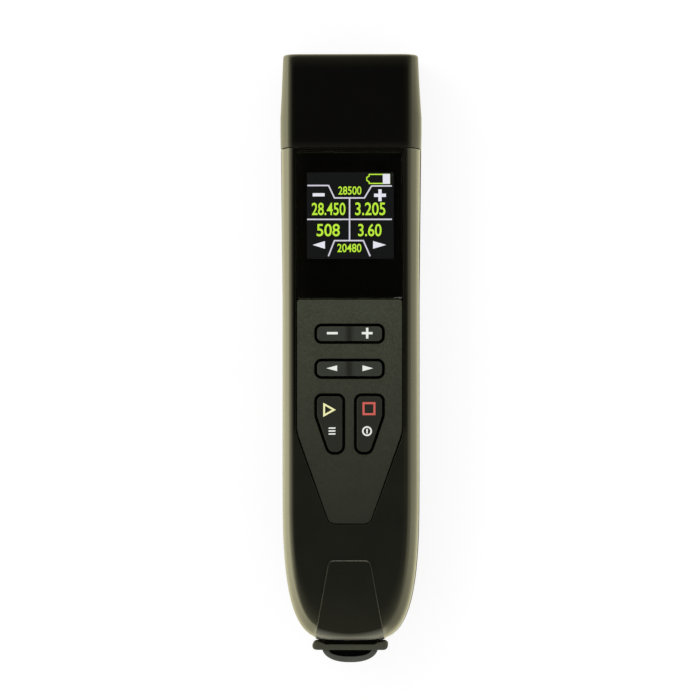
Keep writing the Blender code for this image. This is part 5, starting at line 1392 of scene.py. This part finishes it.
@dataclass
class PortCover:
    """The rubber cover over the USB port: a bar with two ears, a plug and a hollow pull tab."""

    inner_y: float = -87.3
    outer_y: float = -88.7
    ear_y: float = -86.3
    low_z: float = 19.7
    high_z: float = 31.37
    width: float = 22.9
    corner: float = 1.6
    end_round: float = 1.1
    ear_start: float = 7.3
    ear_end: float = 9.9
    bar_thick: float = 1.7
    neck_half: float = 9.2
    neck_gap: float = 0.3
    form: CaseForm = field(default_factory=CaseForm)
    tab_half: float = 8.5
    tab_end_y: float = -92.5
    tab_low: float = 22.37
    tab_high: float = 30.37
    pocket_half: float = 6.4
    pocket_depth: float = 5.0
    tab_wall: float = 1.7
    edge: float = 0.45
    mouth_edge: float = 0.3
    neck_front: float = 0.6
    neck_edges: tuple[float, float] = (0.2, 0.8)
    neck_in: tuple[float, float] = (0.6, 0.5)
    plug_end_y: float = -85.3
    plug: tuple[float, float, float] = (16.8, 6.2, 2.2)
    port_z: float = 26.77

    def carried(self, loop: Array, low: float, high: float, edge: float, corner: float) -> Array:
        """An outline carried up along Z, with its edges and the corners of its front rounded.

        At each end the ring moves in along its normals by a quarter circle of the edge's radius, and
        its width shrinks in proportion by a quarter circle of the corner's radius.

        Args:
            loop: The outline, anticlockwise, as rows of x and y.
            low: Its lower end.
            high: Its upper end.
            edge: Radius of the edges.
            corner: Radius of the corners.

        Returns:
            A grid of points.
        """
        along = np.roll(loop, -1, 0) - np.roll(loop, 1, 0)
        along /= np.linalg.norm(along, axis=1, keepdims=True)
        normal = np.column_stack([along[:, 1], -along[:, 0]])
        off = max(edge, corner) * quarter(10)[1]
        inset, shrink = (
            radius - np.sqrt(radius**2 - (radius - np.minimum(off, radius)) ** 2)
            for radius in (edge, corner)
        )
        half = np.abs(loop[:, 0]).max()
        rings = [(loop - normal * i) * ((half - s) / half, 1) for i, s in zip(inset, shrink)]
        rows = [columns(*ring.T, low + o) for ring, o in zip(rings, off)]
        rows += [columns(*ring.T, high - o) for ring, o in zip(rings[::-1], off[::-1])]
        return np.array(rows)

    def bar(self) -> Array:
        """The bar from above: a straight front, round ends, and a back that steps down between the ears.

        The back's step is a smooth step of the distance from the middle.

        Returns:
            The outline's points, anticlockwise.
        """
        half, r = self.width / 2, self.end_round
        turn = np.linspace(0, np.pi / 2, 8)
        front = columns(half - r + r * np.sin(turn), self.outer_y + r - r * np.cos(turn))
        back = columns(half - r + r * np.cos(turn), self.ear_y - r + r * np.sin(turn))
        x = np.linspace(half - r, 0, 41)[1:]
        share = np.clip((x - self.ear_start) / (self.ear_end - self.ear_start), 0, 1)
        middle = self.outer_y + self.bar_thick
        y = middle + (self.ear_y - middle) * share**2 * (3 - 2 * share)
        right = np.concatenate([front, back, columns(x, y)])
        return np.concatenate([right, right[-2::-1] * (-1, 1)])

    def neck(self) -> Array:
        """The neck behind the bar: its back follows the case's curved end."""
        front = np.linspace(-self.neck_half, self.neck_half, 9)
        x = np.linspace(self.neck_half, -self.neck_half, 41)
        back = self.form.end_at(x) - self.neck_gap
        return np.concatenate([columns(front, self.outer_y + self.neck_front), columns(x, back)])

    def half_ellipse(self, half: float, reach: float, top: float, steps: int = 48) -> Array:
        """A half ellipse: the cosine, a little squared off, and the sine of half a turn."""
        turn = np.linspace(np.pi, 2 * np.pi, steps + 1)
        x = half * np.sign(np.cos(turn)) * np.abs(np.cos(turn)) ** 0.85
        return columns(x, top - reach * np.abs(np.sin(turn)))

    def pocket(self, gap: float, rim: float) -> Array:
        """The pocket's half ellipse at the bar's front, drawn in all round by a gap."""
        reach = rim - self.tab_end_y - self.tab_wall - gap
        return self.half_ellipse(self.pocket_half - gap, reach, rim)

    def tab(self) -> Array:
        """The tab's surface: up its outside, over the rim and down into the pocket.

        Each ring is the outer or the inner half ellipse, scaled about the tab's middle so that the
        edges follow a quarter circle.

        Returns:
            A grid of points.
        """
        top = (self.inner_y + self.outer_y) / 2
        outer = self.half_ellipse(self.tab_half, top - self.tab_end_y, top)
        inner = self.pocket(0.0, self.outer_y - 0.02)
        middle = np.array([0.0, (self.outer_y + self.tab_end_y) / 2])
        falling, rising = quarter(5)
        rows = []
        for loop, order, level, climb, draw in (
            (outer, -1, self.tab_low, self.edge, -self.edge / 4),
            (outer, 1, self.tab_high, -self.edge, -self.edge / 4),
            (inner, -1, self.tab_high, -self.mouth_edge, self.mouth_edge / 3),
        ):
            for drop, rise in zip(falling[::order], rising[::order]):
                rows.append((middle + (loop - middle) * (1 + draw * rise), level + climb * drop))
        floor = self.tab_high - self.pocket_depth
        rows += [(inner, floor + 0.4), (middle + (inner - middle) * 0.85, floor)]
        return np.array([columns(*ring.T, z) for ring, z in rows])

    def put(self, name: str, mesh: Mesh, finish: Finish) -> None:
        """Places one piece of the cover."""
        place_piece(f"cover_{name}", mesh, finish, Body.COVER, "cover_rubber", "port_cover")

    def build(self) -> None:
        """Builds the bar, the neck, the plug, the tab and a black sheet of painted shade in its pocket."""
        bar = self.carried(self.bar(), self.low_z, self.high_z, self.edge, self.corner)
        self.put("bar", surface("bar", bar), COVER_OLIVE)
        low, high = self.neck_in
        neck = self.carried(self.neck(), self.low_z + low, self.high_z - high, *self.neck_edges)
        # painted shade: the neck and the plug below are near black
        self.put("neck", surface("neck", neck), PLUG_SHADE_BLACK)
        section = rounded(rectangle(*self.plug, 0.0, self.port_z))
        rows = [columns(section[:, 0], y, section[:, 1]) for y in (self.inner_y, self.plug_end_y)]
        self.put("plug", surface("plug", np.array(rows)), PLUG_SHADE_BLACK)
        self.put("tab", surface("tab", self.tab()), TAB_LIT_OLIVE)
        # a black sheet in the pocket: painted shade
        floor = self.pocket(0.05, self.outer_y - 0.03)
        depth = self.tab_high - 0.45 * self.pocket_depth
        self.put("pocket_shade", plate("pocket_shade", [floor], depth - 0.3, depth), PLUG_SHADE_BLACK)


@dataclass
class AerialSocket:
    """The aerial socket under the cap: threaded body, insulator, pin, washer and hexagon nut."""

    axis_z: float = 18.0
    thread: float = 7.94
    thread_depth: float = 0.6
    pitch: float = 1.058
    top_y: float = 84.4
    floor_y: float = 75.4
    bore: float = 4.07
    flange: float = 9.8
    flange_low: float = 64.5
    flange_high: float = 67.1
    hole: float = 2.9
    washer: float = 10.2
    washer_y: tuple[float, float] = (69.7, 70.3)
    nut_flats: float = 19.0
    nut_y: tuple[float, float] = (70.6, 73.4)
    tail: float = 6.0
    thread_start: float = 6.5
    lead_in: float = 0.3
    fit: float = 0.3
    chamfer: float = 0.15
    sides: int = 120
    insulator_bore: float = 1.82
    pin: float = 1.52
    pin_bore: float = 0.8

    def body(self) -> Mesh:
        """The threaded body: the depth is a triangle wave of place over pitch plus turn, so it winds."""
        tail_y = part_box("connector_body")[0].y / MM
        start = self.flange_high + self.thread_start
        turn = np.linspace(0, 2 * np.pi, self.sides, endpoint=False)
        along = np.linspace(start, self.top_y - self.lead_in, 160)[:, None]
        wave = np.abs((along / self.pitch + turn / (2 * np.pi)) % 1.0 * 2 - 1)
        fade = np.clip((self.top_y - along) / 0.9, 0, 1) * np.clip((along - start) / 0.6, 0, 1)
        radius = self.thread - self.thread_depth * (1 - wave) * fade
        radius = np.minimum(radius, self.thread - np.clip(along - self.top_y + 0.9, 0, None) * 0.5)
        edge, flange, tail = self.chamfer, self.flange, self.tail
        inside = [(self.hole, tail_y), (tail - 0.2, tail_y), (tail, tail_y + 0.2), (tail, self.flange_low)]
        inside += [(flange - edge, self.flange_low), (flange, self.flange_low + edge)]
        inside += [(flange, self.flange_high - edge), (flange - edge, self.flange_high)]
        inside += [(self.thread, self.flange_high)]
        after = [(self.thread - 0.7, self.top_y), (self.bore + self.lead_in, self.top_y)]
        after += [(self.bore, self.top_y - self.lead_in), (self.bore, self.floor_y)]
        after += [(self.hole, self.floor_y), (self.hole, tail_y)]
        rows = [np.full((self.sides, 2), place) for place in inside]
        rows += list(np.stack([radius, np.repeat(along, self.sides, 1)], -1))
        rows += [np.full((self.sides, 2), place) for place in after]
        reach, y = np.moveaxis(np.array(rows), -1, 0)
        points = np.stack([reach * np.cos(turn), y, self.axis_z + reach * np.sin(turn)], -1)
        return surface("socket", points, capped=False)

    def nut(self) -> Mesh:
        """The hexagon nut: the flats' distance over the cosine within each sixth, cut by cones."""
        turn = np.linspace(0, 2 * np.pi, 144, endpoint=False)
        sixth = (turn + np.pi / 6) % (np.pi / 3) - np.pi / 6
        flat = self.nut_flats / 2 / np.cos(np.pi / 6 - np.abs(sixth))
        low, high = self.nut_y
        bore = np.full_like(turn, self.thread + self.fit)
        cut = np.minimum(flat, self.nut_flats / 2 + 0.1)
        near = np.minimum(flat, cut + 0.7)
        rows = [(bore, low), (cut, low), (near, low + 0.4), (flat, low + 0.75)]
        rows += [(flat, high - 0.75), (near, high - 0.4), (cut, high), (bore, high), (bore, low)]
        grid = [columns(r * np.cos(turn), y, self.axis_z + r * np.sin(turn)) for r, y in rows]
        return surface("nut", np.array(grid), capped=False)

    def put(self, part: str, mesh: Mesh, finish: Finish, slot: str, sharp: float = 35.0) -> None:
        """Places one piece of the socket."""
        place_piece(f"socket_{part}", mesh, finish, Body.CASE, slot, f"connector_{part}", sharp=sharp)

    def lathe(self, part: str, profile: list[tuple[float, float]], sides: int) -> Mesh:
        """A turned part on the socket's axis."""
        return turned(part, np.array(profile), (0.0, self.axis_z), sides)

    def build(self) -> None:
        """Builds the five pieces and sets them on the case."""
        self.put("body", self.body(), NICKEL, "connector_nickel", 40)
        self.put("nut", self.nut(), NICKEL, "connector_nickel", 30)
        low, high = self.washer_y
        inner, outer = self.thread + self.fit, self.washer
        ring = [(inner, low), (outer - 0.1, low), (outer, low + 0.1)]
        ring += [(outer, high - 0.1), (outer - 0.1, high), (inner, high), (inner, low)]
        self.put("washer", self.lathe("washer", ring, 96), NICKEL, "connector_nickel")
        low, high = (corner.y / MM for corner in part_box("connector_insulator"))
        bore, rim = self.insulator_bore, self.hole - self.fit
        ring = [(bore, low), (rim, low), (rim, high - 0.1), (rim - 0.1, high), (bore, high), (bore, low)]
        self.put("insulator", self.lathe("insulator", ring, 64), WHITE_PTFE, "insulator_ptfe")
        low, high = (corner.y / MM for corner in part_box("connector_pin"))
        pin, bore = self.pin, self.pin_bore
        ring = [(0.0, low), (pin - 0.3, low), (pin, low + 0.3), (pin, self.floor_y + 0.3)]
        ring += [(pin, high - 0.4), (1.25, high), (bore + 0.05, high)]
        ring += [(bore, high - 0.1), (bore, high - 3.0), (0.0, high - 3.2)]
        self.put("pin", self.lathe("pin", ring, 48), GOLD, "pin_gold")


@dataclass
class Screws:
    """The screws that show in the back, each a pan head with a slot on a threaded shank."""

    shank: float = 1.1
    thread_depth: float = 0.16
    thread_step: float = 0.25
    slot_half: float = 0.3
    slot_side: float = 0.08
    slot_deep: float = 0.45
    dome: float = 0.25
    sides: int = 64

    def screw(self, node: str, upwards: bool) -> Mesh:
        """One screw as rings: a domed head less its slot, its rim, then a shank with ring-shaped threads.

        The head's height is a parabola of the radius, less the slot's depth where the distance from
        the middle line is under its half width, with sloping sides.

        Args:
            node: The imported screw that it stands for.
            upwards: Whether the head is at the lower end.

        Returns:
            The mesh, in metres.
        """
        low, high = (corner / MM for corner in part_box(node))
        length, radius = high.z - low.z, (high.x - low.x) / 2
        turn = np.linspace(0, 2 * np.pi, self.sides, endpoint=False)
        rows = []
        for r in np.linspace(0.02, radius - 0.2, 14):
            off = np.abs(r * np.sin(turn))
            slot = np.clip((self.slot_half + self.slot_side - off) / self.slot_side, 0, 1)
            rows.append((r, self.dome * (r / radius) ** 2 + self.slot_deep * slot))
        head_high = min(1.3, 0.3 * length + 0.2)
        rows += [(radius, self.dome + 0.25), (radius, head_high), (self.shank, head_high)]
        threads = np.arange(head_high + 0.3, length - 0.7, self.thread_step)
        rows += [(self.shank - self.thread_depth * (i % 2), z) for i, z in enumerate(threads)]
        rows += [(0.4, length)]
        points = np.array([columns(r * np.cos(turn), r * np.sin(turn), z) for r, z in rows])
        points[..., 2] = low.z + points[..., 2] if upwards else high.z - points[..., 2]
        points[..., :2] += ((high.x + low.x) / 2, (high.y + low.y) / 2)
        return surface("screw", points)

    def build(self) -> None:
        """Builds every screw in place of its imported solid."""
        for node in sorted(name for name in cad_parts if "_screw_" in name):
            mesh = self.screw(node, not node.startswith("radio"))
            place_piece(f"{node}_turned", mesh, DARK_STEEL, Body.CASE, "screw_steel", node)


@dataclass
class Inside:
    """The parts inside the case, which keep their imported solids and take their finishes."""

    finishes: dict[str, Finish] = field(
        default_factory=lambda: {
            "keypad_mat": MAT_SILICONE,
            "zoom_out_pill": CARBON,
            "zoom_in_pill": CARBON,
            "cursor_left_pill": CARBON,
            "cursor_right_pill": CARBON,
            "run_pill": CARBON,
            "stop_pill": CARBON,
            "lcd_module": DARK_PLASTIC,
            "lcd_frame": STEEL,
            "lcd_flex": FLEX_AMBER,
            "main_board": BOARD_GREEN,
            "radio_board": BOARD_GREEN,
            "processor_chip": CHIP_EPOXY,
            "board_header": DARK_PLASTIC,
            "shield_can": STEEL,
            "battery_cell": CELL_BLUE,
            "battery_cradle": DARK_PLASTIC,
            "battery_plus_contact": NICKEL,
            "battery_minus_contact": NICKEL,
            "usb_shell": STEEL,
            "usb_tongue": DARK_PLASTIC,
        }
    )

    def build(self) -> None:
        """Gives each solid its finish."""
        for node, finish in self.finishes.items():
            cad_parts[node].material_slots[0].material = finish.material()
            log.info("%s: %s", node, finish.name)


@dataclass
class Studio:
    """The pale floor, the soft light round it and the camera."""

    floor_half: float = 1.5
    camera_place: tuple[float, float, float] = (0.0315, 0.00228, 1.25)
    camera_turn: float = math.radians(1.479)
    lens: float = 206.8
    sensor: float = 36.0
    horizon: Colour = (1.0, 0.955, 0.62)
    white: Colour = (1.0, 1.0, 1.0)
    overhead: float = 0.01
    diffuse: float = 0.8
    left: tuple[float, float, float] = (1.35, 2.6, 2.7)
    left_rise: tuple[float, float] = (-0.10, 0.66)
    right: tuple[float, float] = (0.75, 1.2)
    window: tuple[float, float] = (1.2, 0.13)
    window_rise: tuple[float, float] = (0.10, 0.50)
    window_top: tuple[float, float] = (0.85, 0.97)
    ends: tuple[float, float] = (0.9, 0.1)
    ends_rise: tuple[float, float] = (0.10, 0.97)
    side_split: tuple[float, float] = (-0.15, 0.15)
    end_split: tuple[float, float] = (0.2, 0.4)
    floor_left: tuple[float, float] = (-0.055, -0.040)
    floor_middle: tuple[float, float] = (-0.01, 0.01)
    floor_right: tuple[float, float] = (0.04, 0.12)
    near_glow: tuple[float, float, float] = (0.021, 0.036, 1.0)
    paper: tuple[float, float] = (0.80, 0.84)
    paper_glow: float = 1.13
    paper_share: float = 0.75

    def world(self) -> None:
        """White for the camera, plain for soft light, and for gloss a horizon that fades upwards.

        On the left it fades in proportion to the height of the direction. On the right it keeps
        some light until just under the top, as from a tall window, and past both ends it fades slowly.
        """
        graph = Graph(bpy.data.worlds.new("studio"))
        parts = graph.add("SeparateXYZ", {0: graph.add("TexCoord").outputs["Generated"]}).outputs
        left = graph.spread(parts[2], *self.left_rise, self.left[2], self.overhead)
        tall = graph.spread(parts[2], *self.window_rise, *self.window)
        right = graph.compute("MULTIPLY", tall, graph.spread(parts[2], *self.window_top, 1.0, 0.02))
        level = graph.between(graph.spread(parts[0], *self.side_split, 0.0, 1.0), left, right)
        past = graph.spread(graph.compute("ABSOLUTE", parts[1]), *self.end_split, 0.0, 1.0)
        level = graph.between(past, level, graph.spread(parts[2], *self.ends_rise, *self.ends))
        gloss = graph.add("Background", {"Strength": level}, {"Color": (*self.horizon, 1.0)})
        plain, shown = (
            graph.add("Background", values={"Color": (*self.white, 1.0), "Strength": strength})
            for strength in (self.diffuse, 1.0)
        )
        path = graph.add("LightPath").outputs
        first = graph.add("MixShader", {0: path["Is Glossy Ray"], 1: plain.outputs[0], 2: gloss.outputs[0]})
        second = graph.add("MixShader", {0: path["Is Camera Ray"], 1: first.outputs[0], 2: shown.outputs[0]})
        bpy.context.scene.world = graph.finish(second)

    def floor(self) -> None:
        """A flat floor, white to the camera with a soft shadow, and in reflections dimmer at the right."""
        side = np.linspace(-self.floor_half, self.floor_half, 3)
        x, y = np.meshgrid(side, side)
        points = np.stack([x, y, np.full_like(x, -0.00002)], -1) / MM
        made = bpy.data.objects.new("floor", surface("floor", points, wrap=False, capped=False))
        graph = Graph(bpy.data.materials.new("floor_paper"))
        place = graph.object_place()
        along = graph.add("SeparateXYZ", {0: place}).outputs[0]
        inner, outer, boost = self.near_glow
        dim = graph.spread(along, *self.floor_right, *self.right)
        right = graph.compute("MULTIPLY", dim, graph.spread(along, inner, outer, 1 + boost, 1.0))
        left = graph.spread(along, *self.floor_left, self.left[1], self.left[0])
        level = graph.between(graph.spread(along, *self.floor_middle, 0.0, 1.0), left, right)
        darker, paler = self.paper
        tone = graph.blend(graph.noise(place, 0.8 * MM, 3.0), (darker,) * 3, (paler,) * 3)
        paper = graph.add("BsdfDiffuse", {"Color": tone})
        white = graph.add("Emission", values={"Strength": self.paper_glow})
        seen = graph.add("MixShader", {1: paper.outputs[0], 2: white.outputs[0]}, {0: self.paper_share})
        glow = graph.add("Emission", {"Strength": level}, {"Color": (*self.horizon, 1.0)})
        path = graph.add("LightPath").outputs
        first = graph.add("MixShader", {0: path["Is Camera Ray"], 1: paper.outputs[0], 2: seen.outputs[0]})
        second = graph.add("MixShader", {0: path["Is Glossy Ray"], 1: first.outputs[0], 2: glow.outputs[0]})
        made.data.materials.append(graph.finish(second))
        bpy.context.scene.collection.objects.link(made)

    def lamp(self, name: str, place: tuple[float, float, float], size: float, power: float) -> None:
        """A soft square lamp aimed at the object that gives no mirror image of itself.

        Args:
            name: The lamp's name.
            place: Where it hangs, in metres.
            size: Its side.
            power: Its power in watts.
        """
        light = bpy.data.lights.new(name, "AREA")
        light.size, light.energy = size, power
        made = bpy.data.objects.new(name, light)
        made.location = place
        made.rotation_euler = (-Vector(place)).to_track_quat("-Z", "Y").to_euler()
        made.visible_glossy = False
        bpy.context.scene.collection.objects.link(made)

    def camera(self) -> None:
        """A long lens straight over the object, with +Y up in the picture."""
        lens = bpy.data.cameras.new("camera")
        lens.lens, lens.sensor_width = self.lens, self.sensor
        lens.clip_start, lens.clip_end = 0.01, 20.0
        made = bpy.data.objects.new("camera", lens)
        made.location = self.camera_place
        made.rotation_euler = (0.0, self.camera_turn, 0.0)
        bpy.context.scene.collection.objects.link(made)
        bpy.context.scene.camera = made

    def build(self) -> None:
        """Sets up the world, the floor, the lamp and the camera."""
        self.world()
        self.floor()
        self.lamp("soft_left", (-0.5, 0.4, 0.9), 0.5, 2.0)
        self.camera()
        bpy.context.scene.view_settings.view_transform = "Standard"
        log.info("studio ready")


def main() -> None:
    """Builds every sub-assembly in order."""
    logging.basicConfig(level=logging.INFO, format="%(name)s: %(message)s")
    keys = Keys()
    Shells().build()
    Cap().build()
    FacePlates().build(keys)
    keys.build()
    KeyMarks(keys).build()
    Display().build()
    PortCover().build()
    AerialSocket().build()
    Screws().build()
    Inside().build()
    Studio().build()


if __name__ == "__main__":
    main()
